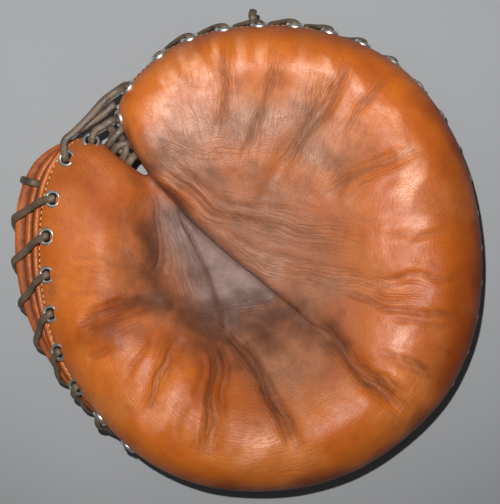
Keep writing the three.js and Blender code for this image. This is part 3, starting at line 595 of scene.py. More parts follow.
def palm_face():
    """The palm leather, with the underside of the pad below it."""
    rim = Rim(np.arange(STATIONS * PER_STATION) / PER_STATION)
    top = palm_plan(rim)
    start = top[0]
    floor = [GUSSET_MIDDLE + (start - GUSSET_MIDDLE) * (k / FLOOR_STEPS) for k in range(1, FLOOR_STEPS)]
    plan = np.concatenate(floor + top)
    z = palm_height(plan)
    # The second value is the painted shade of the creases and folds.
    relief, crease_shade = crease_relief(plan)
    _, _, share = in_chunks(rim_blend, plan).T
    settle = smoothstep(share / RELIEF_FROM)
    soft = sum(high * value_noise(plan, cell, seed) for high, cell, seed in UNEVEN)
    on_floor = 1 - gusset_lobe(plan)
    sag = on_floor * (SAG[0] * value_noise(plan, *SAG[1:]) - SAG_DEPTH)
    z = z + settle * (relief + soft * (1 - on_floor)) + sag
    z[-len(rim.at):] = rim.edge
    rings = list(np.column_stack([plan, z]).reshape(-1, len(rim.at), 3))
    for share_under in np.linspace(0, 1, 9)[1:]:
        turn = share_under * math.pi / 2
        plan_ring = rim.offset(-rim.tuck * (1 - math.cos(turn)))
        rings.append(raised(plan_ring, rim.edge - rim.drop * math.sin(turn)))
    shelf = shrink(rim.offset(-rim.tuck), np.full(len(rim.at), WELT_R * 2), 0)
    roof = shelf
    for _ in range(6):
        roof = shrink(roof, np.maximum(8, rim.inset * 0.35) / 6, 12)
    rings += [raised(shelf, rim.seam), raised(roof, PALM_UNDER_Z)]
    rings.append(raised(roof + (POCKET - roof) * 0.5, PALM_UNDER_Z))
    obj = loft("palm_face", rings, (*GUSSET_MIDDLE, GUSSET_Z - SAG_DEPTH), (*POCKET, PALM_UNDER_Z))
    paint_palm(obj, crease_shade, len(plan))
    return obj


def set_attribute(obj, name, values):
    values = np.asarray(values, np.float32)
    if values.ndim == 1:
        attribute = obj.data.attributes.new(name, "FLOAT", "POINT")
        attribute.data.foreach_set("value", values)
    else:
        attribute = obj.data.attributes.new(name, "FLOAT_VECTOR", "POINT")
        attribute.data.foreach_set("vector", values.ravel())


ZONE_FADE, ZONE_END = 0.3, 0.15  # share of its path over which a zone sets in, and its start


def zone(plan, table):
    """How much of a table's zones each plan point is in, from 0 to 1."""
    share = np.zeros(len(plan))
    for strength, width, path in table:
        distance, along, _ = path_distance(plan, path)
        fade = smoothstep(np.minimum(along, 1 - along) / ZONE_FADE + ZONE_END)
        share = np.maximum(share, strength * fade * np.exp(-((distance / width) ** 2)))
    return share


# Fine lines of the leather that run out from the pocket, and below FINE_LINES_TURN in y round it:
# cells of their noise for each radian, and millimetres for each cell outwards.
OUTWARD_LINES = (26, 24)
ROUND_LINES = (4, 2.1)
FINE_LINES_TURN = -58
TURN_GAP = 14  # without lines near the turn
# In reaches of the rim's crown: where the lines are in full, where they end, and how softly.
LINES_FULL, LINES_END, LINES_BLEND = 0.6, 1.6, 0.5


def fine_lines(plan):
    """Coordinates of the fine lines, and how strong they are."""
    angle, distance, reach, _ = from_pocket(plan)
    outward, around = (
        np.stack([cells * np.cos(angle), cells * np.sin(angle), distance / pitch], 1)
        for cells, pitch in (OUTWARD_LINES, ROUND_LINES)
    )
    below = FINE_LINES_TURN - plan[:, 1]
    bowl = distance / reach
    strength = smoothstep(bowl / LINES_FULL) * smoothstep((LINES_END - bowl) / LINES_BLEND)
    strength = strength * smoothstep(np.abs(below) / TURN_GAP)
    return np.where(below[:, None] > 0, around, outward), strength


ZONE_WANDER = 5
WORN_END, WORN_BLEND = 1.05, 0.75  # the pocket's wear, in reaches of the rim's crown


def paint_palm(obj, crease_shade, top_count):
    """Where the leather is worn, dark with dirt and painted shade, brightened by painted highlights, and
    marked by creases and lines with painted shade in them.
    """
    count = len(obj.data.vertices)
    where = np.empty(count * 3)
    obj.data.vertices.foreach_get("co", where)
    plan = where.reshape(-1, 3)[:, :2] / MM - TO_FRAME[:2]
    on_top = np.zeros(count)
    on_top[:top_count] = 1
    on_top[-2] = 1  # the middle of the gusset
    # Painted shade of the creases and folds, on the top surface only.
    lines = np.zeros(count)
    lines[:top_count] = crease_shade
    spread = wander(plan, ZONE_WANDER)
    zones = {name: zone(plan if name == "dull" else spread, rows) for name, rows in ZONES.items()}
    _, distance, reach, _ = from_pocket(plan)
    worn = smoothstep((WORN_END - distance / reach) / WORN_BLEND)
    zones["worn"] = np.maximum(worn, zones["worn"]) * (1 - zones.pop("fresh"))
    flow, wrinkle = wrinkle_flow(plan)
    ray, rays = fine_lines(plan)
    floor = smoothstep(1 - gusset_lobe(plan)) * on_top
    marks = {"crease_shade": lines, "floor": floor, "flow": flow, "wrinkle": wrinkle * on_top}
    for name, values in {**zones, **marks, "ray": ray, "rays": rays * on_top}.items():
        set_attribute(obj, name, values)


# Zones of the palm: strength, width, path. Worn grey brown, still fresh, deep red brown with painted shade,
# matt, dirt with painted shade, and painted highlights on the crowns of the puffs.
ZONES = {}
ZONES["worn"] = [
    (0.95, 24, [(-76, 66), (-58, 60), (-36, 48), (-8, 30), (20, 12), (44, -4), (70, -14)]),
    (0.85, 22, [(-60, 78), (-44, 74), (-20, 76), (4, 80), (30, 78), (48, 58), (60, 40)]),
    (0.9, 15, [(-50, 40), (-44, 20), (-44, -4), (-40, -26), (-36, -40)]),
    (0.2, 20, [(-30, -50), (6, -52), (40, -60), (60, -70)]),
]
ZONES["fresh"] = [
    (0.8, 22, [(-78, -50), (-58, -62), (-36, -76), (-14, -90), (14, -108)]),
    (0.5, 12, [(-30, -56), (-14, -68), (4, -84)]),
]
# Deeper red brown of the leather, with painted shade where the light falls off at the rim's edges and in
# dark hollows.
ZONES["deep"] = [
    (0.8, 26, [(116, -88), (130, -58), (138, -24)]),
    (0.7, 11, [(-88, -37), (-70, -31), (-50, -28)]),
    (0.45, 15, [(-88, -50), (-66, -50), (-46, -50)]),
    (0.25, 16, [(-94, 30), (-92, 0), (-88, -30)]),
    (1.0, 13, [(120, -96), (136, -66), (146, -24), (146, 14), (139, 50), (124, 84), (104, 112)]),
    (0.62, 34, [(110, -90), (128, -60), (136, -20), (134, 14), (122, 56), (90, 96)]),
    (0.9, 7, [
        (-60, -130), (-32, -143), (0, -148), (34, -146), (68, -136), (99, -116), (124, -90), (141, -58),
    ]),
    (0.6, 22, [(-118, 62), (-102, 52), (-88, 34), (-82, 10)]),
    (0.15, 26, [(40, -120), (70, -104), (96, -84)]),
    (0.9, 22, [(-40, -46), (-14, -56), (14, -56), (42, -62), (62, -78)]),
    (0.5, 24, [(-50, -80), (-10, -90), (30, -92)]),
    (0.5, 12, [(-90, 44), (-92, 27), (-92, 8)]),
    (0.55, 14, [(-104, -40), (-88, -50), (-70, -56)]),
    (0.55, 9, [(-66, 116), (-48, 128), (-24, 138), (6, 143), (40, 141), (72, 131), (100, 113)]),
]
ZONES["dull"] = [
    (0.9, 32, [(-122, 84), (-104, 50), (-88, 34), (-70, 20)]),
    (0.4, 40, [(-108, 40), (-104, 0), (-100, -50)]),
    (0.7, 22, [(-50, 56), (-30, 42), (-8, 28), (20, 12), (44, -4)]),
    (0.8, 20, [(-44, 30), (-40, 0), (-20, -30), (0, -40)]),
    (1.0, 16, [(44, 50), (62, 62), (86, 68)]),
    (1.0, 12, [(-84, -44), (-68, -34), (-52, -28)]),
    (1.0, 15, [(-20, -38), (2, -42), (26, -44)]),
    (1.0, 9, [(-5, 112), (2, 100), (8, 84)]),
    (1.0, 8, [(22, 114), (20, 102), (15, 86)]),
]
# Dirt, and painted shade in the valleys, folds and hollows, both as a dark brown.
ZONES["dirt_and_shade"] = [
    (0.85, 11, [(-66, 28), (-62, 12), (-62, -4), (-64, -18), (-60, -34)]),
    (0.5, 18, [(-72, 30), (-72, 12), (-71, -4), (-72, -22), (-74, -36)]),
    (0.8, 14, [(-66, -32), (-36, -42), (-11, -44), (8, -42), (24, -36)]),
    (0.6, 20, [(-56, -40), (-30, -50), (-8, -58)]),
    (0.95, 12, [(-40, -44), (-20, -40), (-2, -40), (14, -38), (26, -36), (40, -40)]),
    (0.6, 8, [(18, -30), (34, -38), (50, -51), (62, -64)]),
    (0.35, 6, [(60, -62), (78, -80), (94, -94)]),
    (0.5, 13, [(-6, -48), (14, -52), (36, -56)]),
    (0.5, 7, [(-12, -48), (2, -66), (16, -92), (24, -112)]),
    (0.35, 6, [(-22, -50), (-22, -74), (-24, -104)]),
    (0.3, 6, [(-98, -44), (-80, -38), (-56, -30)]),
    (0.25, 7, [(16, 46), (36, 76), (52, 98)]),
    (0.55, 5, [(-62, 50), (-50, 36), (-40, 25)]),
    (0.2, 6, [(-13, 112), (-16, 90), (-18, 72)]),
    (0.38, 16, [(-72, 72), (-48, 64), (-20, 52), (10, 40), (50, 30)]),
    (0.5, 13, [(46, 50), (62, 62), (84, 68)]),
    (0.9, 10, [(-66, -8), (-56, -28), (-46, -42)]),
    (0.75, 8, [(-76, -34), (-64, -29), (-46, -28)]),
    (0.9, 11, [(-16, -46), (2, -48), (22, -50)]),
    (0.6, 10, [(-62, -28), (-44, -30), (-28, -33)]),
    (0.3, 9, [(-48, 34), (-38, 12), (-30, -6), (-24, -22)]),
    (0.9, 9, [(-14, -34), (2, -29), (18, -29)]),
    (0.2, 9, [(-5, 112), (2, 100), (8, 84)]),
    (0.2, 8, [(22, 114), (20, 102), (15, 86)]),
    (0.45, 9, [(-86, -42), (-73, -47), (-58, -44)]),
    (0.75, 11, [(18, -42), (38, -48), (58, -54)]),
]
# Painted highlights: pale pink spots on the crowns of the puffs, where the flash glints.
ZONES["painted_highlight"] = [
    (0.8, 6, [(-22, 120), (-16, 122)]),
    (0.8, 8, [(-36, 109), (-25, 115)]),
    (0.8, 8, [(-44, 117), (-30, 122)]),
    (0.8, 9, [(-52, 99), (-40, 108)]),
    (0.8, 7, [(-5, 121), (2, 123)]),
    (0.8, 6, [(8, 120), (15, 122)]),
    (0.6, 11, [(-56, 80), (-44, 94)]),
    (0.5, 9, [(30, 117), (40, 115)]),
    (0.8, 6, [(41, 109), (48, 112)]),
    (0.8, 6, [(60, 101), (68, 104)]),
    (0.6, 8, [(82, 79), (90, 86)]),
    (0.8, 7, [(85, 62), (95, 66)]),
    (0.9, 12, [(88, 49), (104, 45)]),
    (0.5, 9, [(98, 28), (100, 14)]),
    (0.6, 10, [(88, -46), (96, -54)]),
    (0.5, 12, [(-6, -112), (10, -120)]),
    (0.5, 12, [(-58, -92), (-44, -100)]),
    (0.2, 11, [(-112, 44), (-109, 20), (-104, -4)]),
]


# Lacing and eyelets, placed by the part's rules.

def placed(rim, out, height):
    """A point of one station's profile, in three dimensions."""
    return np.array([rim.x[0] + rim.out[0, 0] * out, rim.y[0] + rim.out[0, 1] * out, height])


def profile_height(rim, outs):
    return palm_height(rim.offset(0) + rim.out * np.asarray(outs, float)[:, None])


@functools.lru_cache(maxsize=None)
def eyelet_seat(at):
    """Out and height of the place where the lace comes through the palm, and the leather's normal."""
    rim = Rim(at)
    turns = np.arange(8, 0, -1) / 8 * math.pi / 2
    outs = np.arange(0, -16, -0.5)
    line = np.concatenate([
        np.column_stack([-rim.tuck[0] * (1 - np.cos(turns)), rim.edge[0] - rim.drop[0] * np.sin(turns)]),
        np.column_stack([outs, profile_height(rim, outs)]),
    ])
    run = np.concatenate([[0], np.cumsum(np.linalg.norm(np.diff(line, axis=0), axis=1))])
    if rim.x[0] < THUMB_UP_TO_X and at > WEB_AT["thumb_inner"] - 0.1:
        length = np.interp(rim.y[0], *THUMB_FROM_SEAM)
    else:
        length = np.interp(rim.x[0], *FINGER_FROM_SEAM)
    i = int(np.searchsorted(run, length))
    share = (length - run[i - 1]) / (run[i] - run[i - 1])
    out, height = line[i - 1] + (line[i] - line[i - 1]) * share
    low, high = line[max(0, i - 4)], line[min(len(line) - 1, i + 3)]
    normal = np.array([*(rim.out[0] * (high[1] - low[1])), low[0] - high[0]])
    return rim, out, height, normal / np.linalg.norm(normal)


def cover_roll(rim, angle):
    """Out and height of the back cover's outside, an angle round from its waist to its floor."""
    low = cover_floor(rim.y)
    out = rim.waist_out - rim.cover_inset * (1 - math.cos(angle))
    return out, low + (rim.waist_height - low) * (1 - math.sin(angle))


def cover_floor(y):
    """The heel end of the back cover stands clear of the strap."""
    return STRAP_RISE * smoothstep((RISE_FROM - np.asarray(y)) / RISE_OVER)


@functools.lru_cache(maxsize=None)
def edge_hull(at):
    """The tight way over the edge at one station, from the eyelet down to the hole in the cover."""
    rim, out, height, _ = eyelet_seat(at)
    edge, tuck, drop = rim.edge[0], rim.tuck[0], rim.drop[0]
    line = [(out, height)]
    if height > edge:
        outs = np.append(np.arange(out + 1, 0, 1), 0)
        line += zip(outs, np.append(profile_height(rim, outs)[:-1], edge))
    for share in np.arange(0.15, 1, 0.15):
        turn = share * math.pi / 2
        if edge - drop * math.sin(turn) < height:
            line.append((-tuck * (1 - math.cos(turn)), edge - drop * math.sin(turn)))
    seam = rim.seam[0]
    line.append((rim.welt_out[0] + WELT_R, seam - WELT_DROP))
    line += [tuple(p[:, 0]) for p in cover_profile(rim)[4:]]
    for share in (0.33, 0.66, 1):
        low = cover_roll(rim, LACE_HOLE_TURN * share)
        line.append((low[0][0], low[1][0]))
    hull = []
    for p in line:
        while len(hull) > 1:
            a, b = hull[-2:]
            if (b[0] - a[0]) * (p[1] - a[1]) - (b[1] - a[1]) * (p[0] - a[0]) < 0:
                break
            hull.pop()
        hull.append(p)
    return rim, np.array(hull)


def over_edge(at, share, lift=0.0):
    """A lace's middle and normal at a share of the way over the edge."""
    rim, hull = edge_hull(at)
    run = np.concatenate([[0], np.cumsum(np.linalg.norm(np.diff(hull, axis=0), axis=1))])
    i = min(len(hull) - 1, max(1, int(np.searchsorted(run, share * run[-1]))))
    t = (share * run[-1] - run[i - 1]) / (run[i] - run[i - 1])
    a, b = hull[i - 1], hull[i]
    normal = np.array([*(rim.out[0] * (a[1] - b[1])), b[0] - a[0]])
    normal /= np.linalg.norm(normal)
    point = placed(rim, *(a + (b - a) * t))
    return point + normal * (LACE_THICK / 2 + LACE_CLEAR + lift), normal


def spaced_stations(start, spacing, count, direction):
    """Stations a given spacing apart along the edge, in one direction round it."""
    at = start + direction * np.arange(0, 3600) * 0.01
    points = catmull_rom(RIM, at)[:, :2]
    found, run = [start], 0.0
    for i in range(1, len(at)):
        run += np.linalg.norm(points[i] - points[i - 1])
        if run >= spacing:
            found.append(float(at[i]))
            run = 0.0
            if len(found) == count:
                return found
    return found


def nearest_station(x, y):
    return float(samples.at[np.argmin(np.hypot(samples.x - x, samples.y - y))])


FINGER_STATIONS = spaced_stations(nearest_station(-58, 124), 21.8, 18, -1)[::-1]
THUMB_STATIONS = spaced_stations(nearest_station(-125, 36), 24.2, 8, 1)
LACE_STEPS = 6  # between the control points of a lace's path
WEB_AT = {
    "finger_outer": nearest_station(-74, 104),
    "finger_inner": nearest_station(-79, 84),
    "thumb_inner": nearest_station(-95, 71),
    "thumb_outer": nearest_station(-115, 62),
}
EYELET_STATIONS = [*FINGER_STATIONS, *THUMB_STATIONS, *WEB_AT.values()]

# Strands of the web, from the part: x, y, height of the middle.
WEB = {
    "outer": [(-81, 100, 57), (-89, 94, 56), (-98, 84, 55), (-107, 75, 55.5), (-113, 69, 56.5)],
    "back": [(-106, 76, 53), (-99, 79.5, 51.5), (-90, 86, 50), (-82.5, 93, 49)],
    "inner": [(-84, 82, 57), (-90, 78, 56.5), (-94, 75.5, 57)],
    "ladder": [
        (-87, 80, 54.4), (-83.5, 75, 51.5), (-84.5, 69, 48.5), (-80, 65, 47), (-74.5, 61, 46), (-75, 52, 42),
    ],
}


def inner_points(at, towards=None, over=None):
    """The lace where it stands in its holes: low in the cover, bent by the welt, out of the eyelet."""
    rim, out, height, normal = eyelet_seat(at)
    bend_out = min(rim.welt_out[0] - WELT_R - LACE_THICK - 0.6, out - 4)
    low_out, low_height = (v[0] for v in cover_roll(rim, LACE_HOLE_TURN))
    low = placed(rim, low_out, low_height)
    bend = placed(rim, bend_out, rim.seam[0] - WELT_DROP + 1)
    high = placed(rim, out, height)
    away = -np.array([*rim.out[0], 0]) if towards is None else -towards
    down = (low - bend) / np.linalg.norm(low - bend)
    head = high + normal * (LACE_HEAD - 1.4)
    return [(low + down * 1.6, down), (bend, away), (high, away), (head, normal if over is None else over)]


def smooth_path(points):
    """Points and normals of a path, rounded through its control points."""
    values = np.array([[*p, *n] for p, n in points])
    padded = np.vstack([2 * values[0] - values[1], values, 2 * values[-1] - values[-2]])
    rows = []
    for i in range(len(values) - 1):
        rows += [spline(*padded[i:i + 4], t) for t in np.arange(LACE_STEPS) / LACE_STEPS]
    rows = np.array([*rows, values[-1]])
    return rows[:, :3], rows[:, 3:]


def flat_section(width, thick, sides=16, power=2.4):
    turn = -np.arange(sides) / sides * 2 * math.pi
    c, s = np.cos(turn), np.sin(turn)
    return np.column_stack([
        np.sign(c) * np.abs(c) ** (2 / power) * width / 2,
        np.sign(s) * np.abs(s) ** (2 / power) * thick / 2,
    ])


def sweep(name, centres, normals, section, widen):
    """A strip of the given section along a path, widened by a factor at each point, with closed ends."""
    along = np.gradient(centres, axis=0)
    along /= np.linalg.norm(along, axis=1)[:, None]
    side = np.cross(along, normals)
    side /= np.linalg.norm(side, axis=1)[:, None]
    up = np.cross(side, along)
    rings = [
        c + s * (section[:, :1] * k) + u * (section[:, 1:] * (0.5 + 0.5 * k))
        for c, s, u, k in zip(centres, side, up, widen)
    ]
    return loft(name, rings, centres[0] - along[0] * 0.3, centres[-1] + along[-1] * 0.3)


WAVER, WAVER_STEPS = 0.08, 7  # share of the width, and points of the path


def lace(name, points, seed):
    """A rawhide thong: its width wavers a little along its length."""
    centres, normals = smooth_path(points)
    count = len(centres)
    wave = value_noise(np.column_stack([np.arange(count) * 1.0, np.full(count, seed)]), WAVER_STEPS, seed)
    return sweep(name, centres, normals, flat_section(LACE_WIDTH, LACE_THICK), 1 + WAVER * wave)


# Shares of the way over the edge: where a lace lies on it, and where its lift over a ring ends.
ON_EDGE = (0.12, 0.9)
LIFT_FROM, LIFT_BLEND = 0.14, 0.22


def whip(name, stations, turns, lift_over, seed):
    """Lace whipped over the edge, lifted where it lies over an eyelet's ring."""
    points = []
    for i, at in enumerate(stations):
        points += inner_points(at)[0 if i else 1:]
        if i + 1 == len(stations):
            break
        for share in np.linspace(*ON_EDGE, turns):
            lift = lift_over * (1 - smoothstep((share - LIFT_FROM) / LIFT_BLEND))
            points.append(over_edge(at + (stations[i + 1] - at) * share, share, lift))
    return lace(name, points, seed)


def web_lace(name, start, across, end, seed):
    across = [np.array(p, float) for p in across]
    first, last = across[1] - across[0], across[-2] - across[-1]
    ends = []
    up = np.array([0, 0, 1.0])
    for at, way in ((start, first), (end, last)):
        flat = np.array([way[0], way[1], 0])
        ends.append(inner_points(at, flat / np.linalg.norm(flat), up)[1:])
    return lace(name, [*ends[0], *[(p, up) for p in across], *ends[1][::-1]], seed)


def strand(name, path, seed):
    up = np.array([0, 0, 1.0])
    return lace(name, [(np.array(p, float), up) for p in path], seed)


# Short turns of lace that cross the slit below the web, each from one lobe's edge to the other's.
CROSSINGS = [
    [(-89, 64.5, 45), (-86, 68, 50.5), (-82, 72.5, 52.5), (-77.5, 77, 52), (-72, 80.5, 45)],
    [(-86.5, 60, 44), (-82.5, 64.5, 50), (-78.5, 67.5, 51.5), (-74, 68, 50.5), (-67, 65.5, 44)],
    [(-80.5, 55.5, 43), (-77, 60, 49.5), (-75.5, 64.5, 51), (-77, 70, 49), (-81, 75, 46.5)],
    [(-78, 52, 43), (-74, 56, 48.5), (-71, 60, 49), (-66, 64, 44)],
]


def start_strand():
    """The thumb lace's first turn, which comes out beside the welt and goes round the back's edge."""
    at = nearest_station(-126, 41)
    points = [over_edge(at, share) for share in np.linspace(0.42, 0.95, 7)]
    rim, _ = edge_hull(at)
    inner = placed(rim, rim.welt_out[0] + 1.4, rim.seam[0] - WELT_DROP - 4)
    return lace("thumb_thong_start", [(inner, points[0][1]), *points], 27)


# The knotted tip of the finger lace at the top.
TIP = [(4, 141.5, 40), (3.4, 145, 44.5), (2.6, 147.5, 45), (3.2, 151, 42)]


# Profile of an eyelet: radius, height above the leather.
EYELET_PROFILE = [
    (3.5, -1.6), (3.3, 0.2), (3.5, 0.85), (4.2, 1.3), (5.0, 1.1), (5.55, 0.5), (5.7, -0.3), (5.4, -2.2),
]
# Profile of a dark plug in each eyelet's hole, painted shade for the hole's inside: radius, height.
HOLE_PROFILE = [(3.55, 0.55), (3.55, -1.4)]
EYELET_SIDES = 36
# How far an eyelet turns up from the slope of the leather, on the thumb's side and elsewhere.
THUMB_LEVEL = 0.55
THUMB_DOWN_TO_Y = -100
FINGER_LEVEL = 0.12
EYELET_LIFT = 0.7  # of an eyelet's seat off the leather


def turned_rings(seat, normal, profile, sides):
    """Rings of a turned profile that stands on a seat along a normal."""
    side = np.cross(normal, (0, 0, 1.0))
    side /= np.linalg.norm(side)
    other = np.cross(normal, side)
    turn = np.arange(sides) / sides * 2 * math.pi
    ring = np.cos(turn)[:, None] * side + np.sin(turn)[:, None] * other
    return [seat + normal * h + ring * r for r, h in profile]


def eyelets():
    rings, holes = Gathered(), Gathered()
    for at in EYELET_STATIONS:
        rim, out, height, slope = eyelet_seat(at)
        on_thumb = at > WEB_AT["thumb_inner"] - 0.1 and rim.y[0] > THUMB_DOWN_TO_Y
        level = THUMB_LEVEL if on_thumb else FINGER_LEVEL
        normal = slope * (1 - level) + np.array([0, 0, level])
        normal /= np.linalg.norm(normal)
        seat = placed(rim, out, height) + slope * EYELET_LIFT
        around = turned_rings(seat, normal, EYELET_PROFILE, EYELET_SIDES)
        rings.add([*around, around[0]], ends=False)
        holes.add(turned_rings(seat, normal, HOLE_PROFILE, EYELET_SIDES))
    return rings.mesh("eyelet_rings"), holes.mesh("eyelet_holes")


def edge_run(rim):
    """Length along the edge at each station."""
    return np.concatenate([[0], np.cumsum(np.linalg.norm(np.diff(rim.offset(0), axis=0), axis=1))])


PUCKER = 0.05  # share of the welt's radius, at each stitch and at random
PUCKER_STEP = 4.2
WELT_SIDES = 14


def welt():
    rim = Rim(np.arange(STATIONS * PER_STATION) / PER_STATION)
    turn = np.arange(WELT_SIDES) / WELT_SIDES * 2 * math.pi
    run = edge_run(rim)
    uneven = value_noise(np.column_stack([run, run * 0]), 9, 11)
    radius = WELT_R * (1 + PUCKER * np.cos(run / PUCKER_STEP * 2 * math.pi) + PUCKER * uneven)
    rings = []
    for angle in turn:
        out = rim.welt_out + radius * math.cos(angle)
        rings.append(raised(rim.offset(out), rim.seam - WELT_DROP + radius * math.sin(angle)))
    obj = loft("welt_roll", [*rings, rings[0]])
    # Painted shade round the welt's roll, darkest on its underside.
    depth = 0.5 - 0.5 * np.sin(np.append(turn, turn[0]) - 0.5)
    set_attribute(obj, "shaded_groove", np.repeat(smoothstep((depth - 0.05) / 0.6), len(rim.at)))
    return obj


STITCH_STEP = 3.7
STITCH_TURN = math.radians(35)
STITCH_TUCKED = math.radians(45)  # further under the edge where the leather is tucked in
STITCH_SECTION = (1.1, 0.8, 8, 2)
# One stitch: stations before or after its middle, and how far it stands off the leather.
STITCH = ((-0.055, -0.2), (-0.03, 0.35), (0.03, 0.35), (0.055, -0.2))


def stitches():
    """Pale thread along the edge of the palm leather, one short stitch after another."""
    fine = Rim(np.arange(STATIONS * 40) / 40)
    run = edge_run(fine)
    section = flat_section(*STITCH_SECTION)
    gathered = Gathered()
    for at in np.interp(np.arange(0, run[-1], STITCH_STEP), run, fine.at):
        ends = []
        for shift, lift in STITCH:
            rim = Rim(at + shift)
            turn = STITCH_TURN + STITCH_TUCKED * smoothstep((rim.tuck[0] - 0.6) / 1.5)
            out = lift - rim.tuck[0] * (1 - math.cos(turn))
            ends.append(placed(rim, out, rim.edge[0] - rim.drop[0] * math.sin(turn)))
        along = ends[-1] - ends[0]
        along /= np.linalg.norm(along)
        side, up = np.cross(along, (0, 0, 1.0)), np.array([0, 0, 1.0])
        gathered.add([end + side * section[:, :1] + up * section[:, 1:] for end in ends])
    return gathered.mesh("edge_stitches")


BEAD_R = 2.6
BEAD_IN = 2.4
BEAD_LEAN, FULL_FLARE = 1.9, 14  # it leans outwards where the back flares, most from this flare on
INNER_TOP = (5.2, 4)  # of the lining, in from the bead and down from it
# Painted shade on the cover's rings: inside, and from inside its bead over the grooves outwards.
INNER_SHADE = 0.6
BEAD_SHADE = (1, 0.8, 0.3, 0, 0, 0, 0.25, 0.7, 1, 0.9, 0.45, 0.1)


def cover_profile(rim):
    """Out and height of the back cover's outside, from inside its bead down to its waist."""
    lean = BEAD_LEAN * np.minimum(1, rim.flare / FULL_FLARE)
    top = rim.seam - BEAD_DROP - BEAD_R
    middle = rim.bead_out - BEAD_IN + lean
    profile = []
    for degrees in (180, 150, 120, 90, 60, 30, 0, -30, -50):
        turn = math.radians(degrees)
        profile.append(np.stack([middle + BEAD_R * math.cos(turn), top + BEAD_R * math.sin(turn)]))
    start = profile[-1]
    end = np.stack([rim.waist_out, rim.waist_height])
    for t in (0.12, 0.3, 0.5, 0.75, 1):
        out = start[0] + (end[0] - start[0]) * math.sin(t * math.pi / 2)
        height = start[1] + (end[1] - start[1]) * (1 - math.cos(t * math.pi / 2))
        profile.append(np.stack([out, height]))
    return profile


def back_cover():
    """The thin leather shell of the back, outside and inside, cut open for the hand."""
    rim = Rim(np.arange(STATIONS * 6) / 6)
    base = rim.offset(rim.waist_out)
    for _ in range(8):
        base = shrink(base, rim.cover_inset / 8, 10)

    def ring(out, height):
        return raised(rim.offset(out), height)

    def floor_ring(share, lift):
        plan = base + (COVER_MIDDLE - base) * share
        return raised(plan, cover_floor(plan[:, 1]) + lift)

    outside = [ring(*p) for p in cover_profile(rim)]
    rolls = (0.1, 0.2, 0.3, 0.4, 0.5, 0.6, 0.68)
    outside += [ring(*cover_roll(rim, share * math.pi / 2)) for share in rolls]
    outside += [floor_ring(share, 0) for share in (0, 0.1, 0.2, 0.35, 0.55, 0.8)]
    inner = [floor_ring(share, LEATHER) for share in (0.8, 0.5, 0.3, 0.15, 0)]
    for share in (0.6, 0.4, 0.2):
        out, height = cover_roll(rim, share * math.pi / 2)
        inner.append(ring(out - LEATHER, height + LEATHER * 0.7 * share))
    inner.append(ring(rim.waist_out - LEATHER, rim.waist_height))
    inner.append(ring(rim.bead_out - INNER_TOP[0], rim.seam - BEAD_DROP - INNER_TOP[1]))
    cover = loft("cover_leather", [*inner, *outside], (*COVER_MIDDLE, LEATHER), (*COVER_MIDDLE, 0))
    shaded_groove = np.zeros(len(inner) + len(outside))
    shaded_groove[:len(inner)] = INNER_SHADE
    shaded_groove[len(inner):len(inner) + len(BEAD_SHADE)] = BEAD_SHADE
    set_attribute(cover, "shaded_groove", np.append(np.repeat(shaded_groove, len(rim.at)), [INNER_SHADE, 0]))
    cut_mouth(cover)
    return cover


def mouth_outline():
    """Plan outline of the hand's opening, rounded at its upper end."""
    turn = np.linspace(0, math.pi / 2, 13)
    low = MOUTH_TOP - MOUTH_ROUND
    across = MOUTH_HALF - MOUTH_ROUND + MOUTH_ROUND * np.cos(turn)
    right = np.column_stack([across, low + MOUTH_ROUND * np.sin(turn)])
    left = right[::-1] * (-1, 1)
    return np.vstack([[(-MOUTH_HALF, -175), (MOUTH_HALF, -175)], right, left])


def cut_mouth(cover):
    outline = mouth_outline()[::-1]
    rings = [raised(outline, height) for height in (-5, 60)]
    cutter = loft("mouth_cutter", rings, (0, -90, -5), (0, -90, 60))
    cut = cover.modifiers.new("mouth", "BOOLEAN")
    cut.operation, cut.object, cut.solver = "DIFFERENCE", cutter, "EXACT"
    apply_modifiers(cover)
    bpy.data.objects.remove(cutter)


def apply_modifiers(obj):
    graph = bpy.context.evaluated_depsgraph_get()
    made = bpy.data.meshes.new_from_object(obj.evaluated_get(graph))
    obj.modifiers.clear()
    obj.data = made


def strap():
    """The wrist strap: square where it is sewn on, round at the stud, with eased edges."""
    radius = STRAP["wide"] / 2
    turn = np.linspace(-math.pi / 2, math.pi / 2, 25)
    across = STRAP["to"] - radius + radius * np.cos(turn)
    round_end = np.column_stack([across, STRAP["y"] + radius * np.sin(turn)])
    square_end = [(STRAP["from"], STRAP["y"] + side * radius) for side in (1, -1)]
    outline = np.vstack([round_end, square_end])
    middle = np.array([0, STRAP["y"]])
    bottom, top = STRAP["bottom"], STRAP["bottom"] + STRAP["thick"]
    inner = middle + (outline - middle) * (0.985, 0.93)
    plans = ((inner, bottom), (outline, bottom + 0.5), (outline, top - 0.5), (inner, top))
    rings = [raised(plan, height) for plan, height in plans]
    return loft("strap_leather", rings, (*middle, bottom), (*middle, top))


def stud():
    r, h = STUD["head_r"], STUD["head_h"]
    shank, top = STUD["shank_r"], STUD["top"]
    profile = [(0.6, 0), (r - 1.2, 0), (r - 0.3, 0.35), (r, 0.8), (r - 0.3, h)]
    profile += [(shank, h), (shank, top - 0.4), (shank - 0.5, top)]
    seat, up = np.array([STUD["x"], STRAP["y"], 0.0]), np.array([0, 0, 1.0])
    turn = np.arange(48) / 48 * 2 * math.pi
    ring = np.column_stack([np.cos(turn), np.sin(turn), turn * 0])
    return loft("stud_metal", [seat + up * z + ring * q for q, z in profile], seat, seat + up * top)


# Materials.

# Colours of the palm leather, from dark to light, then of its blotches.
TAN = ("A54E10", "C56B1A", "8F3C0D")
WORN = ("84523A", "9C6749", "6E4735")
GUSSET_COLOURS = ("80675E", "664E45")
# Deep red brown, for the deeper leather and for the painted shade at the rim and in hollows.
DEEP_TAN_AND_SHADE = "6E2708"
# Pale pink of the painted highlights.
HIGHLIGHT_PINK = "EBAA86"
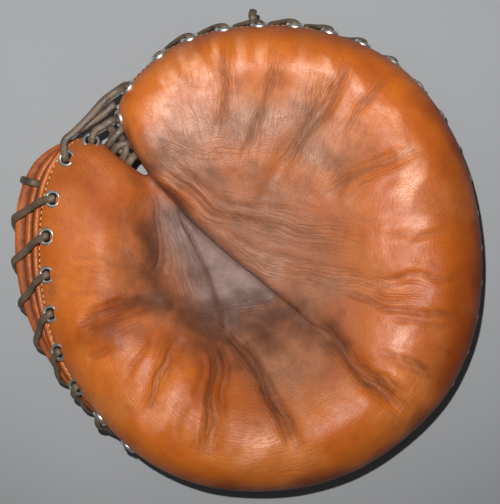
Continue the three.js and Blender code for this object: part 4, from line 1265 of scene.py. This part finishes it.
# Brown of the dirt and of the painted shade.
GRIME_AND_SHADE = "43271A"
# Painted shade in the fine lines and in the creases, then a brown for random specks.
LINE_SHADE, CREASE_SHADE, SPECK = "55301C", "4A220C", "5E3520"


def colour(code):
    """A hex colour as linear values."""
    parts = [int(code[i:i + 2], 16) / 255 for i in (0, 2, 4)]
    return (*[c / 12.92 if c <= 0.04045 else ((c + 0.055) / 1.055) ** 2.4 for c in parts], 1)


class Nodes:
    """A short way to write a material's nodes. A colour is written as its hex code."""

    def __init__(self, name):
        self.material = bpy.data.materials.new(name)
        self.material.use_nodes = True
        self.tree = self.material.node_tree
        self.shader = self.tree.nodes["Principled BSDF"]
        self.place = self.add("ShaderNodeTexCoord", {}).outputs["Object"]

    def add(self, kind, inputs, **settings):
        node = self.tree.nodes.new(kind)
        for key, value in settings.items():
            setattr(node, key, value)
        self.feed(node, inputs)
        return node

    def feed(self, node, inputs):
        """Links or sets the inputs that are named or numbered."""
        for key, value in inputs.items():
            if isinstance(value, bpy.types.NodeSocket):
                self.tree.links.new(value, node.inputs[key])
            else:
                node.inputs[key].default_value = colour(value) if isinstance(value, str) else value

    def attribute(self, name, output="Fac"):
        return self.add("ShaderNodeAttribute", {}, attribute_name=name).outputs[output]

    def noise(self, scale, detail=2.0, roughness=0.5, vector=None, distortion=0.0):
        inputs = {"Vector": vector or self.place, "Scale": scale, "Detail": detail}
        inputs |= {"Roughness": roughness, "Distortion": distortion}
        return self.add("ShaderNodeTexNoise", inputs).outputs["Fac"]

    def cells(self, scale):
        inputs = {"Vector": self.place, "Scale": scale}
        return self.add("ShaderNodeTexVoronoi", inputs).outputs["Distance"]

    def math(self, operation, *values, clamp=False):
        node = self.add("ShaderNodeMath", dict(enumerate(values)), operation=operation, use_clamp=clamp)
        return node.outputs[0]

    def times(self, a, b):
        return self.math("MULTIPLY", a, b)

    def plus(self, a, b, clamp=False):
        return self.math("ADD", a, b, clamp=clamp)

    def minus(self, a, b):
        return self.math("SUBTRACT", a, b)

    def ramp(self, value, low, high, to_low=0.0, to_high=1.0):
        inputs = {"Value": value, "From Min": low, "From Max": high, "To Min": to_low, "To Max": to_high}
        return self.add("ShaderNodeMapRange", inputs).outputs[0]

    def mix(self, share, a, b):
        return self.add("ShaderNodeMix", {0: share, 6: a, 7: b}, data_type="RGBA").outputs[2]

    def bump(self, height, distance, strength=1.0, below=None):
        inputs = {"Height": height, "Distance": distance, "Strength": strength}
        if below is not None:
            inputs["Normal"] = below
        return self.add("ShaderNodeBump", inputs).outputs[0]

    def finish(self, base, roughness, normal=None, metallic=0.0, specular=0.5):
        inputs = {"Base Color": base, "Roughness": roughness, "Metallic": metallic}
        inputs["Specular IOR Level"] = specular
        if normal is not None:
            inputs["Normal"] = normal
        self.feed(self.shader, inputs)
        return self.material


def leather_grain(n, wrinkle=1.0):
    """Pebbled grain, pores and fine wrinkles, from coarse to fine."""
    wrinkles = n.noise(70, 5, 0.62, distortion=0.8)
    folds = n.bump(n.math("ABSOLUTE", n.minus(wrinkles, 0.5)), 0.0009 * wrinkle, 0.4)
    pebbles = n.bump(n.cells(760), 0.00026, 0.42, folds)
    return n.bump(n.noise(1700, 2, 0.6), 0.00012, 0.4, pebbles)


def in_lines(n, vector, width):
    """Thin lines across a vector: 1 in a line, 0 beside it."""
    waves = n.noise(1.0, vector=vector)
    return n.minus(1.0, n.ramp(n.math("ABSOLUTE", n.minus(waves, 0.5)), 0.0, width))


def palm_material():
    n = Nodes("palm_leather")
    patches = n.noise(16, 5, 0.62, distortion=0.6)
    blotches = n.noise(60, 5, 0.65)
    specks = n.noise(260, 3, 0.7)

    # Tan, deeper in tone and with painted shade towards the rim, and worn towards the pocket.
    tan = n.mix(n.ramp(patches, 0.3, 0.7), TAN[0], TAN[1])
    tan = n.mix(n.ramp(blotches, 0.4, 0.75, 0, 0.45), tan, TAN[2])
    worn = n.mix(n.ramp(patches, 0.32, 0.68), WORN[0], WORN[1])
    worn = n.mix(n.ramp(blotches, 0.4, 0.72, 0, 0.6), worn, WORN[2])
    wear = n.plus(n.attribute("worn"), n.ramp(patches, 0.3, 0.7, -0.28, 0.28), clamp=True)
    tan = n.mix(n.times(n.attribute("deep"), 0.88), tan, DEEP_TAN_AND_SHADE)
    base = n.mix(wear, tan, worn)
    # Painted highlights, broken up by the specks.
    painted_highlight_share = n.times(n.attribute("painted_highlight"), n.ramp(specks, 0.35, 0.6, 0.3, 0.6))
    base = n.mix(painted_highlight_share, base, HIGHLIGHT_PINK)
    gusset = n.mix(n.ramp(blotches, 0.35, 0.7), *GUSSET_COLOURS)
    base = n.mix(n.attribute("floor"), base, gusset)

    # Fine wrinkles in bands, and fine lines in patches.
    in_band = n.times(n.attribute("wrinkle"), in_lines(n, n.attribute("flow", "Vector"), 0.09))
    some_rays = n.times(n.attribute("rays"), n.ramp(patches, 0.4, 0.62))
    in_ray = n.times(some_rays, in_lines(n, n.attribute("ray", "Vector"), 0.05))
    fine = n.plus(in_band, n.times(in_ray, 0.35), clamp=True)

    # Dirt and painted shade over all of it, and painted shade darkest in the lines and creases.
    grime_and_shade = n.plus(n.attribute("dirt_and_shade"), n.ramp(blotches, 0.3, 0.7, -0.2, 0.2))
    base = n.mix(n.ramp(grime_and_shade, 0.1, 0.95, 0, 0.82), base, GRIME_AND_SHADE)
    # Painted shade in the fine wrinkles and lines.
    base = n.mix(n.times(fine, 0.42), base, LINE_SHADE)
    # Painted shade in the creases and under the folds' lips.
    shaded_crease = n.times(n.attribute("crease_shade"), n.ramp(specks, 0.3, 0.6, 0.75, 1.0))
    base = n.mix(n.ramp(shaded_crease, 0.1, 0.9, 0, 0.55), base, CREASE_SHADE)
    base = n.mix(n.ramp(specks, 0.62, 0.8, 0, 0.3), base, SPECK)

    # Matt where it is dull or creased, shinier under the painted highlights.
    dull = n.times(n.plus(n.attribute("dull"), n.attribute("floor"), clamp=True), 0.2)
    matt = n.plus(n.times(shaded_crease, 0.3), n.minus(dull, n.times(painted_highlight_share, 0.16)))
    roughness = n.plus(n.ramp(blotches, 0.3, 0.75, 0.42, 0.58), matt)
    height = n.plus(n.times(in_band, -1.0), n.times(in_ray, -0.6))
    wrinkled = n.bump(height, 0.0004, 0.55, leather_grain(n))
    specular = n.minus(0.42, n.times(n.attribute("deep"), 0.32))
    return n.finish(base, roughness, wrinkled, specular=specular)


def plain_leather(name, light, dark, worn_edge, shaded_groove=None):
    n = Nodes(name)
    patches = n.noise(30, 5, 0.6, distortion=0.5)
    fine = n.noise(220, 4, 0.65)
    base = n.mix(n.ramp(patches, 0.3, 0.7), dark, light)
    base = n.mix(n.ramp(fine, 0.5, 0.78, 0, 0.7), base, worn_edge)
    roughness = n.ramp(fine, 0.3, 0.7, 0.34, 0.52)
    if shaded_groove:
        # Painted shade in the grooves and inside, in the colour given for them.
        depth = n.attribute("shaded_groove")
        base = n.mix(n.times(depth, 0.85), base, shaded_groove)
        roughness = n.plus(roughness, n.times(depth, 0.4), clamp=True)
    return n.finish(base, roughness, leather_grain(n, 0.35), specular=0.3)


def rawhide():
    n = Nodes("rawhide")
    patches = n.noise(90, 4, 0.6)
    fibres = n.noise(600, 3, 0.7)
    base = n.mix(n.ramp(patches, 0.3, 0.7), "3A2F27", "62513F")
    base = n.mix(n.ramp(fibres, 0.5, 0.8, 0, 0.5), base, "857259")
    roughness = n.ramp(patches, 0.3, 0.7, 0.42, 0.62)
    return n.finish(base, roughness, n.bump(fibres, 0.0003, 0.6), specular=0.4)


def thread():
    n = Nodes("thread")
    twist = n.noise(1400, 2, 0.6)
    base = n.mix(n.ramp(twist, 0.35, 0.65), "A07040", "CDA878")
    return n.finish(base, 0.7, n.bump(twist, 0.0002, 0.6), specular=0.3)


def nickel():
    n = Nodes("nickel_plate")
    tarnish = n.noise(240, 4, 0.65)
    base = n.mix(n.ramp(tarnish, 0.45, 0.75), "ECEBE6", "A5A19A")
    roughness = n.ramp(tarnish, 0.35, 0.75, 0.3, 0.5)
    return n.finish(base, roughness, n.bump(tarnish, 0.0001, 0.3), metallic=1.0)


# A near-black finish that paints the shade inside the eyelets' holes.
def painted_hole_shade():
    n = Nodes("hole_shade")
    return n.finish(n.mix(n.noise(400), "120D0A", "1E1611"), 0.9, specular=0.1)


def floor_paper():
    n = Nodes("floor_paper")
    base = n.mix(n.noise(6, 3, 0.5), "848586", "8C8D8E")
    return n.finish(base, 0.95, n.bump(n.noise(900), 0.0001, 0.2), specular=0.1)


def dress(obj, material, *nodes, slot):
    """Gives a piece its material, puts it under the root body and hides the solids that it stands for.
    Nothing moves. The slot is not used.
    """
    obj.data.materials.clear()
    obj.data.materials.append(material)
    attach(obj, "root")
    if nodes:
        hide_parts(*nodes)
    return obj


def build():
    palm = dress(palm_face(), palm_material(), "palm_pad", slot="palm_leather")
    # The last colour given to the welt's and the back's leather is the painted shade in their grooves.
    welt_leather = plain_leather("welt_leather", "B85F17", "87400B", "5E2C10", "33130A")
    dress(welt(), welt_leather, "welt", slot="welt_leather")
    cover = plain_leather("back_leather", "B05814", "7C370C", "552710", "33130A")
    dress(back_cover(), cover, "back_cover", slot="back_leather")
    strap_leather = plain_leather("strap_leather", "8C4A24", "6A371B", "4A2A1A")
    dress(strap(), strap_leather, "wrist_strap", slot="strap_leather")
    metal = nickel()
    dress(stud(), metal, "strap_stud", slot="nickel")
    rings, holes = eyelets()
    names = ["eyelet_%02d" % (i + 1) for i in range(len(EYELET_STATIONS))]
    dress(rings, metal, *names, slot="nickel")
    dress(holes, painted_hole_shade(), slot="nickel")
    dress(stitches(), thread(), slot="rawhide")
    build_laces()


def build_laces():
    thong = rawhide()
    dress(whip("finger_thong", FINGER_STATIONS, 7, 0.9, 21), thong, "finger_lace", slot="rawhide")
    dress(whip("thumb_thong", THUMB_STATIONS, 9, 2.4, 22), thong, "thumb_lace", slot="rawhide")
    crossings = (("outer", "finger_outer", "thumb_outer", 23), ("inner", "finger_inner", "thumb_inner", 24))
    for name, start, end, seed in crossings:
        obj = web_lace("web_thong_" + name, WEB_AT[start], WEB[name], WEB_AT[end], seed)
        dress(obj, thong, "web_lace_" + name, slot="rawhide")
    for name, seed in (("back", 25), ("ladder", 26)):
        dress(strand("web_thong_" + name, WEB[name], seed), thong, "web_lace_" + name, slot="rawhide")
    for i, path in enumerate(CROSSINGS):
        dress(strand("web_thong_cross_%d" % (i + 1), path, 30 + i), thong, slot="rawhide")
    dress(start_strand(), thong, slot="rawhide")
    dress(strand("thong_tip", TIP, 28), thong, slot="rawhide")


# Stage, light and camera.
CAMERA_HEIGHT = 1.5
CAMERA_OVER = (1.6 * MM, 0.9 * MM)
SENSOR_MM = 36
PHOTO_WIDTH_PX = 500
MM_PER_PX = 0.62  # at the height of the mitt's edge
EDGE_HEIGHT = 0.045


def stage():
    bpy.ops.mesh.primitive_plane_add(size=6)
    floor = bpy.context.object
    floor.name = "floor"
    floor.data.materials.append(floor_paper())

    camera = bpy.data.objects.new("camera", bpy.data.cameras.new("camera"))
    link(camera)
    camera.data.sensor_fit = "HORIZONTAL"
    camera.data.sensor_width = SENSOR_MM
    photo_width = PHOTO_WIDTH_PX * MM_PER_PX * MM
    camera.data.lens = SENSOR_MM * (CAMERA_HEIGHT - EDGE_HEIGHT) / photo_width
    camera.location = (*CAMERA_OVER, CAMERA_HEIGHT)
    bpy.context.scene.camera = camera

    add_flash()
    add_ceiling()
    world = bpy.data.worlds.new("world")
    bpy.context.scene.world = world
    world.use_nodes = True
    background = world.node_tree.nodes["Background"]
    background.inputs["Color"].default_value = colour(ROOM_COLOUR)
    background.inputs["Strength"].default_value = ROOM_STRENGTH


# Metres and watts, set against the photo's highlights and shadow.
FLASH_AT = (-0.065, 0.12, 1.5)
FLASH_AIM = (-0.03, 0.15, 0.0)
FLASH_POWER = 130
FLASH_CONE = math.radians(40)
FLASH_RADIUS = 0.012
CEILING_AT = (-0.5, 0.7, 2.2)
CEILING_SIZE = 1.6
CEILING_POWER = 3.5
ROOM_COLOUR = "D6DADF"
ROOM_STRENGTH = 0.13


def aim(obj, place, target):
    obj.location = place
    obj.rotation_euler = (Vector(target) - Vector(place)).to_track_quat("-Z", "Y").to_euler()


def add_flash():
    """A small flash near the camera, brightest towards the upper left."""
    light = bpy.data.lights.new("flash", "SPOT")
    light.energy = FLASH_POWER
    light.spot_size = FLASH_CONE
    light.spot_blend = 1.0
    light.shadow_soft_size = FLASH_RADIUS
    aim(link(bpy.data.objects.new("flash", light)), FLASH_AT, FLASH_AIM)


def add_ceiling():
    """A weak, wide light from the room."""
    light = bpy.data.lights.new("ceiling", "AREA")
    light.size, light.energy = CEILING_SIZE, CEILING_POWER
    aim(link(bpy.data.objects.new("ceiling", light)), CEILING_AT, (0, 0, 0))


build()
stage()
bpy.context.scene.view_settings.view_transform = "Standard"
